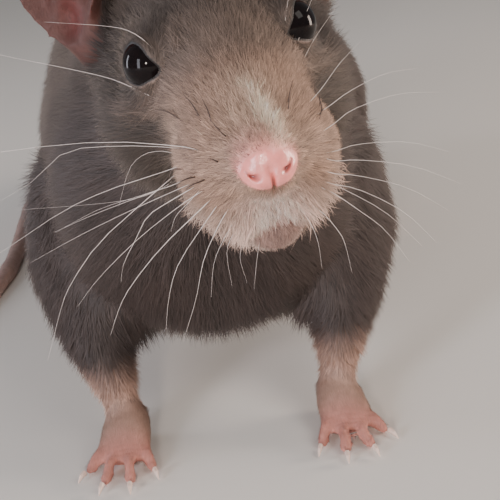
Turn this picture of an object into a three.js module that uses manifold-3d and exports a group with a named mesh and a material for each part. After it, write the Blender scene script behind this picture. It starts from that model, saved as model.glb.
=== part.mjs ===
// A fancy rat with dumbo ears, life size, standing low on four feet with its head raised and turned a little.
// Millimetres, +Z up. The rat looks along -Y, so +X is the rat's left. Its feet and tail rest at z = 0.
// Each flesh node carries the outline of the coat, out to the tips of the hair.
import * as THREE from "three";
import { mergeVertices } from "three/addons/utils/BufferGeometryUtils.js";
import Module from "manifold-3d";

const wasm = await Module();
wasm.setup();
const { Manifold, Mesh } = wasm;

// Driving sizes of an adult of about 330 g.
const GAP = 0.3; // between neighbours
const EYE_RADIUS = 3.4;
const EYE_SPACING = 17.5; // between the centres of the eyeballs
const EAR_LENGTH = 22.5;
const EAR_WIDTH = 20.5;
const EAR_DEPTH = 5;
const EAR_THICKNESS = 1.2;
const PAW_SPACING = 34;
const HIND_FOOT_LENGTH = 40;
const TAIL_BASE_RADIUS = 5.4;
const TAIL_TIP_RADIUS = 1.3;
const TAIL_LENGTH_NODES = 5;
const CLAW_LENGTH = 1.8;
const SOLE_FLAT = 0.25; // how deep the floor cuts into the round of a pad

// The head is built about the middle of the line between its eyes, then raised, turned, tipped and tilted.
const HEAD_AT = new THREE.Vector3(5.8, -10, 64);
const HEAD_YAW = THREE.MathUtils.degToRad(6.7);
const HEAD_PITCH = THREE.MathUtils.degToRad(5.1);
const HEAD_ROLL = THREE.MathUtils.degToRad(-5.9);
const HEAD_POSE = new THREE.Matrix4().compose(
  HEAD_AT,
  new THREE.Quaternion().setFromEuler(new THREE.Euler(HEAD_PITCH, HEAD_ROLL, HEAD_YAW, "ZXY")),
  new THREE.Vector3(1, 1, 1),
);
const WORLD_POSE = new THREE.Matrix4();
const SIDES = { right: -1, left: 1 };

const point = (x, y, z) => new THREE.Vector3(x, y, z);

// Helpers that make and join closed solids.

// A closed geometry as a solid, with its faces turned outwards.
function solid(geometry, pose = WORLD_POSE) {
  const bare = new THREE.BufferGeometry().setAttribute("position", geometry.getAttribute("position").clone());
  if (geometry.index) bare.setIndex(geometry.index);
  bare.applyMatrix4(pose);
  const merged = mergeVertices(bare, 1e-4);
  const corners = merged.index.array;
  const kept = [];
  for (let i = 0; i < corners.length; i += 3) {
    const [a, b, c] = [corners[i], corners[i + 1], corners[i + 2]];
    if (a !== b && b !== c && c !== a) kept.push(a, b, c);
  }
  const vertProperties = new Float32Array(merged.attributes.position.array);
  const build = (triVerts) => new Manifold(new Mesh({ numProp: 3, vertProperties, triVerts }));
  const made = build(new Uint32Array(kept));
  if (made.volume() > 0) return made;
  for (let i = 0; i < kept.length; i += 3) [kept[i], kept[i + 1]] = [kept[i + 1], kept[i]];
  return build(new Uint32Array(kept));
}

const join = (...solids) => solids.flat().reduce((sum, s) => sum.add(s));

// The largest closed body of a solid.
function largest(made) {
  const bodies = made.decompose();
  return bodies.reduce((best, body) => (body.volume() > best.volume() ? body : best));
}

// A closed skin over rings of points that turn the same way, with a fan over each end.
function skinRings(rings) {
  const count = rings[0].length;
  const places = rings.flat().flatMap((p) => [p.x, p.y, p.z]);
  const faces = [];
  for (let r = 0; r + 1 < rings.length; r++)
    for (let i = 0; i < count; i++) {
      const next = (i + 1) % count;
      const [a, b] = [r * count + i, r * count + next];
      const [c, d] = [a + count, b + count];
      faces.push(a, b, d, a, d, c);
    }
  const ends = [rings[0], rings[rings.length - 1]];
  ends.forEach((ring, end) => {
    const middle = ring.reduce((sum, p) => sum.add(p), point(0, 0, 0)).divideScalar(count);
    const centre = places.length / 3;
    places.push(middle.x, middle.y, middle.z);
    const first = end ? (rings.length - 1) * count : 0;
    for (let i = 0; i < count; i++) {
      const [a, b] = [first + i, first + ((i + 1) % count)];
      faces.push(...(end ? [centre, a, b] : [centre, b, a]));
    }
  });
  const geometry = new THREE.BufferGeometry();
  geometry.setAttribute("position", new THREE.Float32BufferAttribute(places, 3));
  geometry.setIndex(faces);
  return geometry;
}

// A tapering body along a curve. centres are points, and girths are [half width, height above, depth below]
// at each. side is the direction of the width, round squares the section a little, and grow fattens it all
// over.
function loft(centres, girths, { sides = 16, steps = 12, side = point(1, 0, 0), round = 1, grow = 0 } = {}) {
  const spine = new THREE.CatmullRomCurve3(centres, false, "centripetal");
  const sizes = new THREE.CatmullRomCurve3(girths.map((g) => point(...g)), false, "centripetal");
  const upSign = side.clone().cross(spine.getTangent(0.5)).z < 0 ? -1 : 1;
  const rings = [];
  for (let i = 0; i <= steps; i++) {
    const t = (1 - Math.cos((Math.PI * i) / steps)) / 2;
    const along = spine.getTangent(t);
    const centre = spine.getPoint(t).addScaledVector(along, i === 0 ? -grow : i === steps ? grow : 0);
    const across = side.clone().addScaledVector(along, -side.dot(along)).normalize();
    const upward = across.clone().cross(along).multiplyScalar(upSign);
    const size = sizes.getPoint(t);
    const ring = [];
    for (let k = 0; k < sides; k++) {
      const angle = (2 * Math.PI * k) / sides;
      const [c, s] = [Math.cos(angle), Math.sin(angle)];
      const wide = Math.sign(c) * Math.abs(c) ** round * (Math.max(size.x, 0.05) + grow);
      const tall = Math.sign(s) * Math.abs(s) ** round * (Math.max(s > 0 ? size.y : size.z, 0.05) + grow);
      ring.push(centre.clone().addScaledVector(across, wide).addScaledVector(upward, tall));
    }
    rings.push(ring);
  }
  return skinRings(rings);
}

function egg(centre, radii, { grow = 0, across = 16, down = 10, turn = new THREE.Euler() } = {}) {
  const geometry = new THREE.SphereGeometry(1, across, down);
  geometry.scale(radii[0] + grow, radii[1] + grow, radii[2] + grow);
  geometry.applyMatrix4(new THREE.Matrix4().makeRotationFromEuler(turn));
  return geometry.translate(centre.x, centre.y, centre.z);
}

// What lies under the floor, cut from all that rests on it, so that it rests on small flats.
const floor = solid(new THREE.BoxGeometry(600, 600, 60).translate(0, 0, -30));

// The head, its eyes, lids, nose and jaw.

// Stations from the nose back to the nape: place along the head, half width, top, bottom and the height of
// the widest line.
const HEAD_STATIONS = [
  [-23.4, 2.4, -5.6, -11.6, -8.8],
  [-21.8, 4.4, -4.2, -13.6, -9.2],
  [-18.6, 6.9, -2.4, -16.6, -9.8],
  [-14.0, 8.6, -0.3, -19.4, -10.2],
  [-9.0, 9.5, 1.9, -22.2, -10.4],
  [-3.0, 10.6, 4.6, -23.2, -9.6],
  [3.5, 13.2, 7.4, -23.6, -8.8],
  [11.0, 16.2, 9.2, -23.2, -6.6],
  [18.5, 16.8, 9.0, -22.0, -5.4],
  [25.0, 14.0, 7.0, -18.0, -5.0],
  [29.5, 7.4, 2.8, -11.6, -4.4],
];

function headForm(grow) {
  const skull = loft(
    HEAD_STATIONS.map(([y, , , , wide]) => point(0, y, wide)),
    HEAD_STATIONS.map(([, half, top, bottom, wide]) => [half, top - wide, wide - bottom]),
    { sides: 24, steps: 18, grow },
  );
  const forms = [skull];
  for (const s of Object.values(SIDES)) {
    const whiskerPad = egg(point(4.4 * s, -13.6, -11.4), [6.2, 8.4, 8.0], { grow, across: 14, down: 9 });
    const upperLip = egg(point(2.5 * s, -16.9, -16.0), [4.7, 4.3, 4.8], { grow, across: 12, down: 8 });
    const cheek = egg(point(8.2 * s, 8.5, -11), [8.6, 13.5, 11.4], { grow, across: 12, down: 8 });
    forms.push(whiskerPad, upperLip, cheek);
  }
  return join(forms.map((form) => solid(form, HEAD_POSE)));
}

const eyeCentre = (s) => point((s * EYE_SPACING) / 2, -0.3, -1.3);
const eyeOut = (s) => point(0.8 * s, -0.54, 0.28).normalize();

function eyeball(s, grow = 0) {
  const radius = EYE_RADIUS + grow;
  return solid(egg(eyeCentre(s), [radius, radius, radius], { across: 18, down: 12 }), HEAD_POSE);
}

// The rims of both lids: one oval ring round the eyeball, tipped the way that the eye looks.
function lids(s) {
  const ring = new THREE.TorusGeometry(EYE_RADIUS - 0.1, 0.62, 6, 20);
  const facing = new THREE.Quaternion().setFromUnitVectors(point(0, 0, 1), eyeOut(s));
  ring.applyQuaternion(facing);
  const middle = eyeCentre(s).addScaledVector(eyeOut(s), 0.95);
  return solid(ring.translate(middle.x, middle.y, middle.z), HEAD_POSE);
}

function nosePad(grow) {
  const forms = [egg(point(0, -21.9, -8.8), [3.1, 2.7, 2.9], { grow, across: 12, down: 8 })];
  for (const s of Object.values(SIDES))
    forms.push(egg(point(1.5 * s, -22.0, -9.8), [1.9, 2.4, 1.9], { grow, across: 10, down: 6 }));
  return join(forms.map((form) => solid(form, HEAD_POSE)));
}

// Each nostril is a comma that opens forwards and to the side, and a groove parts the pad below its middle.
function noseCuts() {
  const cuts = [egg(point(0, -24.6, -11.4), [0.3, 1.2, 1.9], { across: 6, down: 4 })];
  for (const s of Object.values(SIDES))
    cuts.push(
      egg(point(2.0 * s, -24.1, -10.0), [0.95, 1.1, 0.5], {
        across: 8,
        down: 5,
        turn: new THREE.Euler(0, 0.45 * s, 0),
      }),
    );
  return join(cuts.map((cut) => solid(cut, HEAD_POSE)));
}

// The lower jaw, from the chin back to the throat. The gap over it is the line of the mouth.
function jawForm(grow) {
  const centres = [
    point(0, -17.4, -20.9),
    point(0, -16.2, -21.1),
    point(0, -12, -21.8),
    point(0, -5, -22),
    point(0, 1.5, -21.2),
  ];
  const girths = [
    [1.9, 0.9, 1.5],
    [3.4, 1.6, 2.7],
    [4.8, 2.0, 3.1],
    [5.8, 1.8, 3.0],
    [4.6, 0.8, 1.8],
  ];
  return solid(loft(centres, girths, { sides: 14, steps: 8, grow }), HEAD_POSE);
}

// The ears: a cup, its root and the canal.

const EAR_SECTORS = 24;
const EAR_SHARES = [0.26, 0.52, 0.78, 1]; // rings from the bottom of the cup to its rim
const earOut = (s) => point(0.81 * s, -0.86, 0.06).normalize(); // the way that the cup opens
const earAxis = (s) => point(0.06 * s, 0.02, 0.9); // from the root to the top of the rim
const earRootPlace = (s) => point(17.1 * s, 14.1, -0.7);

// The cup of an ear: a leaf that is pointed at its root, round at its top and deepest close to the root.
function earCup(s) {
  const out = earOut(s);
  const axis = earAxis(s).addScaledVector(out, -earAxis(s).dot(out)).normalize();
  const across = axis.clone().cross(out).multiplyScalar(-s);
  const half = EAR_LENGTH / 2;
  const ringAt = (share, back) => {
    const ring = [];
    for (let k = 0; k < EAR_SECTORS; k++) {
      const angle = (2 * Math.PI * k) / EAR_SECTORS;
      const wide = EAR_WIDTH * 0.5 * Math.sin(angle) * (0.83 + 0.26 * Math.cos(angle));
      const high = half * Math.cos(angle);
      const bottomHigh = -half * 0.62;
      const nearRoot = 1 - share * (0.5 + 0.5 * Math.cos(angle));
      const behind = EAR_DEPTH * (1 - share ** 2) + 1.1 * share ** 6 * Math.max(0, Math.cos(angle));
      const thick = back ? EAR_THICKNESS * (0.75 + 1.5 * nearRoot ** 2) : 0;
      ring.push(
        earRootPlace(s)
          .addScaledVector(across, wide * share + 0.9 * (1 - share))
          .addScaledVector(axis, half + bottomHigh * (1 - share) + high * share)
          .addScaledVector(out, EAR_DEPTH * 0.6 - behind - thick),
      );
    }
    return ring;
  };
  const front = EAR_SHARES.map((share) => ringAt(share, false));
  const rear = [...EAR_SHARES].reverse().map((share) => ringAt(share, true));
  return solid(skinRings([...front, ...rear]), HEAD_POSE);
}

// The root that carries the cup, widening into the side of the head behind the cheek.
function earRoot(s) {
  const centres = [
    point(11 * s, 14.5, -2),
    point(14 * s, 16, 0),
    point(16 * s, 17, 3.2),
    point(16.6 * s, 17.6, 7.8),
  ];
  const girths = [
    [7.0, 6.5, 6.5],
    [6.4, 5.2, 5.2],
    [5.8, 4.0, 4.0],
    [4.2, 2.4, 2.4],
  ];
  return solid(loft(centres, girths, { sides: 14, steps: 6, side: point(0, 1, 0) }), HEAD_POSE);
}

function earCanal(s) {
  return solid(egg(point(17.9 * s, 12.9, 3.6), [2.2, 3.0, 3.2], { across: 8, down: 6 }), HEAD_POSE);
}

// The trunk and the neck.

// Centre, half width, height above and depth below it, from the breast to the rump.
const TORSO_STATIONS = [
  [point(0, 2, 25), 9, 11, 10],
  [point(0, 7, 27), 19.5, 20, 18],
  [point(0, 19, 31), 26, 31, 22.5],
  [point(0, 39, 34.5), 29.5, 35, 26.5],
  [point(0, 62, 35.5), 32, 37.5, 28.5],
  [point(0, 86, 33.5), 33.5, 38.5, 28],
  [point(0, 106, 29.5), 31, 34.5, 24],
  [point(0, 121, 24), 23, 26, 18],
  [point(0, 131, 18.5), 12, 13.5, 11],
];

function torsoForm(grow) {
  return solid(
    loft(
      TORSO_STATIONS.map(([centre]) => centre),
      TORSO_STATIONS.map(([, ...girth]) => girth),
      { sides: 24, steps: 16, grow },
    ),
  );
}

function neckForm() {
  const centres = [point(4.6, -1, 56), point(4, 9, 54.5), point(2, 22, 50), point(0, 36, 45)];
  const girths = [
    [11, 10, 12],
    [16.5, 16.5, 19],
    [21.5, 22.5, 24],
    [24, 24, 26],
  ];
  return solid(loft(centres, girths, { sides: 22, steps: 9 }));
}

// The legs, feet, toes and claws.

const pawX = (s) => (s * PAW_SPACING) / 2;

function forelegForm(s, grow) {
  const centres = [
    point(14 * s, 30, 42),
    point(19.5 * s, 28, 33),
    point(22.5 * s, 23, 24),
    point(20.5 * s, 13.5, 16),
    point(18.2 * s, 6.5, 10.5),
    point(pawX(s), 3.4, 7),
  ];
  const girths = [
    [10, 10, 10],
    [11.5, 12, 13],
    [10, 10.5, 11],
    [7.2, 7.4, 7.6],
    [5.4, 5.4, 5.6],
    [4.6, 4.4, 4.4],
  ];
  return solid(loft(centres, girths, { sides: 14, steps: 9, grow }));
}

// A toe: an arched, tapering finger from its knuckle, with the ball of its tip on the floor.
function toe(knuckle, direction, length, radius, grow) {
  const along = (share, z) => knuckle.clone().addScaledVector(direction, length * share).setZ(z);
  const arch = knuckle.z + radius * 0.35;
  const ball = radius - SOLE_FLAT;
  const centres = [along(0, knuckle.z), along(0.35, arch), along(0.75, ball), along(1, ball)];
  const girths = [1, 0.92, 1.0, 0.62].map((share) => [radius * share, radius * share, radius * share]);
  const side = point(-direction.y, direction.x, 0);
  return solid(loft(centres, girths, { sides: 8, steps: 5, side, grow }));
}

const CLAW_RADIUS = 0.52;

// A claw: a small horn in front of the toe's tip that bends down and ends clear of the floor.
function claw(root, direction) {
  const along = (share, z) => root.clone().addScaledVector(direction, CLAW_LENGTH * share).setZ(z);
  const centres = [along(0, root.z), along(0.5, root.z - 0.1), along(1, root.z - 0.7)];
  const radii = [1, 0.8, 0.2].map((share) => CLAW_RADIUS * share);
  const girths = radii.map((radius) => [radius * 0.8, radius, radius]);
  const side = point(-direction.y, direction.x, 0);
  return solid(loft(centres, girths, { sides: 6, steps: 2, side }));
}

// The toes of each foot as [knuckle across, knuckle along, splay in degrees, length], from the inner one out.
const FOREPAW = {
  toes: [
    [-3.3, -2.8, -24, 4.4],
    [-1.15, -4.3, -8, 5.6],
    [1.25, -4.2, 9, 5.5],
    [3.3, -2.4, 27, 4.4],
  ],
  radius: 1.25,
  knuckleHeight: 1.75,
};
const HIND_FOOT = {
  toes: [
    [-4.1, -23.0, -20, 6.6],
    [-2.2, -27.6, -8, 8.8],
    [0.1, -28.4, 0, 9.2],
    [2.4, -27.4, 8, 8.8],
    [4.3, -21.4, 22, 6.4],
  ],
  radius: 1.5,
  knuckleHeight: 2.1,
};

// The frame of a foot: heel is where it stands, turned out by an angle, and place leads from foot to world.
function footFrame(heel, turnOut, s) {
  const angle = THREE.MathUtils.degToRad(turnOut) * s;
  const turn = new THREE.Matrix4().makeRotationZ(angle).setPosition(heel.x, heel.y, 0);
  return {
    place: (across, along, z) => point(across * s, along, z).applyMatrix4(turn),
    heading: (splay) => {
      const a = angle + THREE.MathUtils.degToRad(splay) * s;
      return point(Math.sin(a), -Math.cos(a), 0);
    },
    side: point(Math.cos(angle), Math.sin(angle), 0),
  };
}

function toesOf(foot, frame, grow) {
  return foot.toes.map(([across, along, splay, length]) =>
    toe(frame.place(across, along, foot.knuckleHeight), frame.heading(splay), length, foot.radius, grow),
  );
}

function clawsOf(foot, frame) {
  return foot.toes.map(([across, along, splay, length]) => {
    const heading = frame.heading(splay);
    const root = frame.place(across, along, foot.radius * 0.95).addScaledVector(heading, length + 1.5 * GAP);
    return claw(root, heading);
  });
}

const forepawFrame = (s) => footFrame(point(pawX(s), 0, 0), 6, s);
const hindFootFrame = (s) => footFrame(point(28.5 * s, 110, 0), 9, s);

function forepawForm(s, grow) {
  const frame = forepawFrame(s);
  const centres = [
    frame.place(0.2, 5.4, 4.4),
    frame.place(0, 3.4, 4.3),
    frame.place(0, -0.4, 2.9),
    frame.place(0, -3.2, 2.1),
    frame.place(0, -4.8, 1.8),
  ];
  const girths = [
    [2.6, 2.6, 2.6],
    [3.8, 3.8, 4.1],
    [4.3, 3.0, 2.9 + SOLE_FLAT],
    [4.4, 1.9, 2.1 + SOLE_FLAT],
    [3.2, 1.2, 1.5],
  ];
  const palm = solid(loft(centres, girths, { sides: 12, steps: 7, side: frame.side, grow }));
  return join(palm, toesOf(FOREPAW, frame, grow)).subtract(floor);
}

function hindFootForm(s, grow) {
  const frame = hindFootFrame(s);
  const toeReach = 9.2;
  const sole = HIND_FOOT_LENGTH - toeReach;
  const centres = [
    frame.place(0.3, 4.4, 4.4),
    frame.place(0.2, 2.4, 4.0),
    frame.place(0, -8, 3.4),
    frame.place(0, -19, 2.8),
    frame.place(0, 1 - sole, 2.2),
  ];
  const girths = [
    [2.0, 2.4, 2.4],
    [3.5, 3.8, 4.0 + SOLE_FLAT],
    [3.9, 3.3, 3.4 + SOLE_FLAT],
    [5.2, 2.7, 2.8 + SOLE_FLAT],
    [4.0, 1.5, 1.9],
  ];
  const metatarsus = solid(loft(centres, girths, { sides: 12, steps: 8, side: frame.side, grow }));
  return join(metatarsus, toesOf(HIND_FOOT, frame, grow)).subtract(floor);
}

// The haunch: a folded thigh under the coat, and the shank that runs back to the hock over the heel.
function hindlegForm(s, grow) {
  const lean = new THREE.Euler(-0.3, 0, 0.1 * s);
  const haunch = egg(point(23 * s, 91, 27.5), [15, 25, 21.5], { grow, across: 16, down: 10, turn: lean });
  const centres = [
    point(27 * s, 76, 16),
    point(28.5 * s, 85, 13.5),
    point(28.6 * s, 99, 10.5),
    point(28.4 * s, 108.5, 8),
    point(28.3 * s, 113, 5.4),
  ];
  const girths = [
    [7.5, 9, 8.5],
    [8.8, 10.5, 8.5],
    [7.6, 9.5, 6.6],
    [5.8, 7.5, 5],
    [4.4, 5.2, 3.6],
  ];
  const shank = loft(centres, girths, { sides: 14, steps: 8, grow });
  return join([haunch, shank].map((form) => solid(form)));
}

// The tail.

// The tail leaves the rump, sinks to the floor and lies in one bend along the rat's right flank.
const TAIL_ROUTE = [
  [0, 124, 17],
  [-1, 135, 11],
  [-6, 145, 6.8],
  [-17, 153, 0],
  [-31, 154.5, 0],
  [-43, 146, 0],
  [-49, 130, 0],
  [-50, 112, 0],
  [-49.5, 94, 0],
  [-50, 76, 0],
  [-53, 59, 0],
  [-59, 45, 0],
];
const FIRST_LYING_POINT = 3;

function tailRadius(share) {
  return THREE.MathUtils.lerp(TAIL_BASE_RADIUS, TAIL_TIP_RADIUS, share ** 0.75);
}

const tailCurve = new THREE.CatmullRomCurve3(
  TAIL_ROUTE.map(([x, y, z], i) => {
    const share = i / (TAIL_ROUTE.length - 1);
    return point(x, y, i < FIRST_LYING_POINT ? z : tailRadius(share) - SOLE_FLAT);
  }),
  false,
  "centripetal",
);

function tailLength(from, to, last) {
  const steps = 8;
  const rings = [];
  for (let i = 0; i <= steps; i++) {
    const share = from + ((to - from) * i) / steps;
    const centre = tailCurve.getPoint(share);
    const along = tailCurve.getTangent(share);
    const across = point(-along.y, along.x, 0).normalize();
    const upward = along.clone().cross(across);
    const radius = tailRadius(share) * (last && i === steps ? 0.35 : 1);
    const ring = [];
    for (let k = 0; k < 12; k++) {
      const angle = (2 * Math.PI * k) / 12;
      ring.push(
        centre
          .clone()
          .addScaledVector(across, radius * Math.cos(angle))
          .addScaledVector(upward, radius * Math.sin(angle)),
      );
    }
    rings.push(ring);
  }
  return solid(skinRings(rings)).subtract(floor);
}

// The finishes.

const finish = (color, roughness) => new THREE.MeshStandardMaterial({ color, roughness, metalness: 0 });
const FINISHES = {
  coat: finish(0x5f534e, 0.9),
  face: finish(0x9b877e, 0.9),
  skin: finish(0xdba39d, 0.55),
  ear: finish(0xa9776f, 0.6),
  eye: finish(0x0b0b0e, 0.05),
  claw: finish(0xd9c3b4, 0.4),
  sock: finish(0xc9b4a8, 0.9),
  tail: finish(0x8c716a, 0.65),
};

// The assembly of named nodes.

const rat = new THREE.Group();

function addNode(name, made, material) {
  const { numProp, vertProperties, triVerts } = largest(made).getMesh();
  const places = new Float32Array((vertProperties.length / numProp) * 3);
  for (let i = 0; i < places.length / 3; i++)
    places.set(vertProperties.subarray(i * numProp, i * numProp + 3), i * 3);
  const geometry = new THREE.BufferGeometry();
  geometry.setAttribute("position", new THREE.BufferAttribute(places, 3));
  geometry.setIndex(new THREE.BufferAttribute(triVerts, 1));
  geometry.computeVertexNormals();
  const mesh = new THREE.Mesh(geometry, material);
  mesh.name = name;
  rat.add(mesh);
}

const bothSides = Object.entries(SIDES);
const headGrown = headForm(GAP);
const torsoGrown = torsoForm(GAP);

const headSolid = join(headForm(0), bothSides.map(([, s]) => lids(s)))
  .subtract(join(bothSides.map(([, s]) => eyeball(s, GAP))))
  .subtract(nosePad(GAP))
  .subtract(jawForm(GAP));
addNode("head", headSolid, FINISHES.face);
addNode("nose", nosePad(0).subtract(noseCuts()), FINISHES.skin);
addNode("jaw", jawForm(0), FINISHES.face);

const torso = torsoForm(0).subtract(headGrown);
addNode("torso", torso, FINISHES.coat);
addNode("neck", neckForm().subtract(headGrown).subtract(torsoGrown).subtract(jawForm(GAP)), FINISHES.coat);

for (const [name, s] of bothSides) {
  addNode(`eye_${name}`, eyeball(s), FINISHES.eye);
  const ear = join(earCup(s), earRoot(s)).subtract(earCanal(s)).subtract(headGrown);
  addNode(`ear_${name}`, ear, FINISHES.ear);

  const forepawGrown = forepawForm(s, GAP);
  const foreleg = forelegForm(s, 0).subtract(torsoGrown).subtract(forepawGrown);
  addNode(`foreleg_${name}`, foreleg, FINISHES.coat);
  addNode(`forepaw_${name}`, forepawForm(s, 0), FINISHES.sock);

  const hindFootGrown = hindFootForm(s, GAP);
  addNode(`hindleg_${name}`, hindlegForm(s, 0).subtract(torsoGrown).subtract(hindFootGrown), FINISHES.coat);
  addNode(`hindfoot_${name}`, hindFootForm(s, 0), FINISHES.sock);

  clawsOf(FOREPAW, forepawFrame(s)).forEach((made, i) =>
    addNode(`claw_fore_${name}_${i + 1}`, made, FINISHES.claw),
  );
  clawsOf(HIND_FOOT, hindFootFrame(s)).forEach((made, i) =>
    addNode(`claw_hind_${name}_${i + 1}`, made, FINISHES.claw),
  );
}

const tailGapShare = GAP / tailCurve.getLength();
for (let i = 0; i < TAIL_LENGTH_NODES; i++) {
  const from = i / TAIL_LENGTH_NODES + (i ? tailGapShare : 0);
  const last = i === TAIL_LENGTH_NODES - 1;
  const length = tailLength(from, (i + 1) / TAIL_LENGTH_NODES, last);
  addNode(`tail_${i + 1}`, length.subtract(torsoGrown), FINISHES.tail);
}

// The origin is on the floor, under the middle of the whole rat.
const span = new THREE.Box3().setFromObject(rat);
const middle = span.getCenter(point(0, 0, 0));
rat.position.set(-middle.x, -middle.y, -span.min.z);

export default rat;
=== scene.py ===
# %% [markdown]
# # A dumbo rat, life size
# The real animal is a fancy rat with round ears set low on the sides of its head. It stands low on four
# feet with its head raised, and its tail lies along its side.
# Its solids come from the CAD frame, in named nodes that reach out to the tips of the coat. They could be
# painted as they are, but a rat has no seams and its outline is hair. So this lesson grows one skin inside
# the solids, shapes the face on it, and then plants the coat on that skin, tuft by tuft.

import math

import bpy
import numpy as np
from mathutils import Matrix, Vector
from mathutils.bvhtree import BVHTree
from mathutils.kdtree import KDTree


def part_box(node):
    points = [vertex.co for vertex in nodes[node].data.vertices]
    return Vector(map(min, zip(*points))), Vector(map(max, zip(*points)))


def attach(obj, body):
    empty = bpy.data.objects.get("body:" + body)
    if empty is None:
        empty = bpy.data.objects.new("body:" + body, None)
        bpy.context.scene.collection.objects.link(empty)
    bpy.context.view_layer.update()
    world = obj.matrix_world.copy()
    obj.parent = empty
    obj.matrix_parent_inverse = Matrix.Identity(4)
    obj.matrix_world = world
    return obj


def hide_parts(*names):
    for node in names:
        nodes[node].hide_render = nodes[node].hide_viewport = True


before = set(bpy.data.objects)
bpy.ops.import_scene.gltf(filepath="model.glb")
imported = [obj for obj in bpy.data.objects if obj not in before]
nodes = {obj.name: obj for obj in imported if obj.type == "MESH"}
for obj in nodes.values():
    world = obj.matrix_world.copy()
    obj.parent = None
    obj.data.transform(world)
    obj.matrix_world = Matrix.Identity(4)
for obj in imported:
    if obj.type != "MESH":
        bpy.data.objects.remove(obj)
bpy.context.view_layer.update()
MM = 0.001  # the frame is in metres, and this script works out its shapes in millimetres

# %% [markdown]
# ## Small helpers
# Colours are picked as sRGB hex codes, as a colour picker gives them, but shaders work in linear light.
# One function turns a code to linear. Another draws a smooth step, which every mask below is made from:
# rise(y, -10, -3) is 0 where y is under -10 mm, 1 where it is over -3 mm and smooth between the two.

# %% Colour and mask helpers
def linear(code):
    """An sRGB hex code as linear red, green and blue."""
    parts = [int(code[i:i + 2], 16) / 255 for i in (1, 3, 5)]
    return np.array([c / 12.92 if c <= 0.04045 else ((c + 0.055) / 1.055) ** 2.4 for c in parts])


def rise(value, low, high):
    """0 below low, 1 above high and smooth between them. low may be the larger, for a fall."""
    share = np.clip((value - low) / (high - low), 0, 1)
    return share * share * (3 - 2 * share)


def hill(gap, width):
    """1 where gap is 0, falling to almost 0 at twice the width."""
    return np.exp(-(gap / width) ** 2)


def unit(vectors):
    """The same directions with length 1."""
    vectors = np.asarray(vectors, float)
    length = np.linalg.norm(vectors, axis=-1, keepdims=True)
    return vectors / np.maximum(length, 1e-9)


def mix(first, second, share):
    """first where share is 0 and second where it is 1, row by row."""
    return first + (second - first) * np.asarray(share)[:, None]


def distance(places, point):
    """How far each place is from one point."""
    return np.linalg.norm(places - point, axis=1)


def link(thing):
    """Puts a new object into the scene and gives it back."""
    bpy.context.scene.collection.objects.link(thing)
    return thing


print("linear grey of #808080:", linear("#808080").round(3))

# %% [markdown]
# ## The head's own frame
# The head is turned a little to its left, raised and tilted. Everything on the face is easier to place in
# the head's own axes: x to the rat's left, y to the back of its head, z up, with the eyes almost at the
# origin. The eyeballs of the frame say where the head is, and the three angles say how it is held.

# %% Find the head from its eyes
HEAD_YAW = math.radians(6.7)
HEAD_PITCH = math.radians(5.1)
HEAD_ROLL = math.radians(-5.9)
EYE_RADIUS = 3.4
EYE_PLACE = np.array([8.75, -0.3, -1.3])  # the left eyeball's centre in the head's frame
SIDES = {"right": -1, "left": 1}


def box_centre(name):
    """The middle of a CAD node in millimetres."""
    low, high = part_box(name)
    return np.array((low + high) / 2) / MM


head_turn = Matrix.Rotation(HEAD_YAW, 3, "Z") @ Matrix.Rotation(HEAD_PITCH, 3, "X")
head_turn = np.array(head_turn @ Matrix.Rotation(HEAD_ROLL, 3, "Y"))
eye_middle = (box_centre("eye_left") + box_centre("eye_right")) / 2
head_at = eye_middle - head_turn @ (EYE_PLACE * (0, 1, 1))
MIDDLE_X = 9.4  # the plane that parts the rat's right from its left


def to_head(places):
    """Places in the row frame as places in the head's frame, in millimetres."""
    return (places - head_at) @ head_turn


def from_head(places):
    """Places in the head's frame as places in the row frame, in millimetres."""
    return np.asarray(places, float) @ head_turn.T + head_at


def to_left_half(head):
    """Places in the head's frame, with those of its right half mirrored to its left."""
    return np.abs(head[:, [0]]) * (1, 0, 0) + head * (0, 1, 1)


def eye_gap(head):
    """How far each place of the head's frame is from the nearer eyeball's centre."""
    return distance(to_left_half(head), EYE_PLACE)


print("head at", head_at.round(1), "with its left eye at", from_head(EYE_PLACE).round(1))

# %% [markdown]
# ## The camera
# The photograph was taken from a hand's width in front of the nose, looking down on the rat, with the
# camera tipped a little. So close, the lens matters: it makes the muzzle large and the feet small. The
# camera is set from the head, so that it stays in front of the face if the rat is moved.

# %% Make the camera
CAMERA_FROM_HEAD = (0.3, -124.6, 21.2)
CAMERA_DOWN = math.radians(22)
CAMERA_TIP = math.radians(-8)
SENSOR_WIDTH = 36
FOCAL_LENGTH = 72
PICTURE_WIDTH = 500

look = np.array([0, math.cos(CAMERA_DOWN), -math.sin(CAMERA_DOWN)])
level = unit(np.cross(look, (0, 0, 1)))
above = np.cross(level, look)
camera_right = level * math.cos(CAMERA_TIP) + above * math.sin(CAMERA_TIP)
camera_up = above * math.cos(CAMERA_TIP) - level * math.sin(CAMERA_TIP)
camera_at = head_at + CAMERA_FROM_HEAD

camera_data = bpy.data.cameras.new("camera")
camera_data.sensor_width = SENSOR_WIDTH
camera_data.lens = FOCAL_LENGTH
camera_data.clip_start = 0.01
camera = link(bpy.data.objects.new("camera", camera_data))
pose = Matrix(np.array([camera_right, camera_up, -look]).T.tolist()).to_4x4()
pose.translation = Vector(camera_at * MM)
camera.matrix_world = pose
bpy.context.scene.camera = camera


def sight_line(across, down):
    """The direction from the camera through a point of the picture, counted from its top left corner."""
    reach = PICTURE_WIDTH * FOCAL_LENGTH / SENSOR_WIDTH
    half = PICTURE_WIDTH / 2
    return unit(look + camera_right * (across - half) / reach - camera_up * (down - half) / reach)


print("camera at", camera_at.round(1), "mm")

# %% [markdown]
# ## One skin from many solids
# The flesh of the frame is in twenty nodes with gaps of 0.3 mm. A union of them could keep every edge,
# but skin flows over its joints. A voxel remesh does that in one go: the nodes are pushed over their gaps,
# poured together, and come out as one closed surface of even little faces, which is then smoothed.

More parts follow.
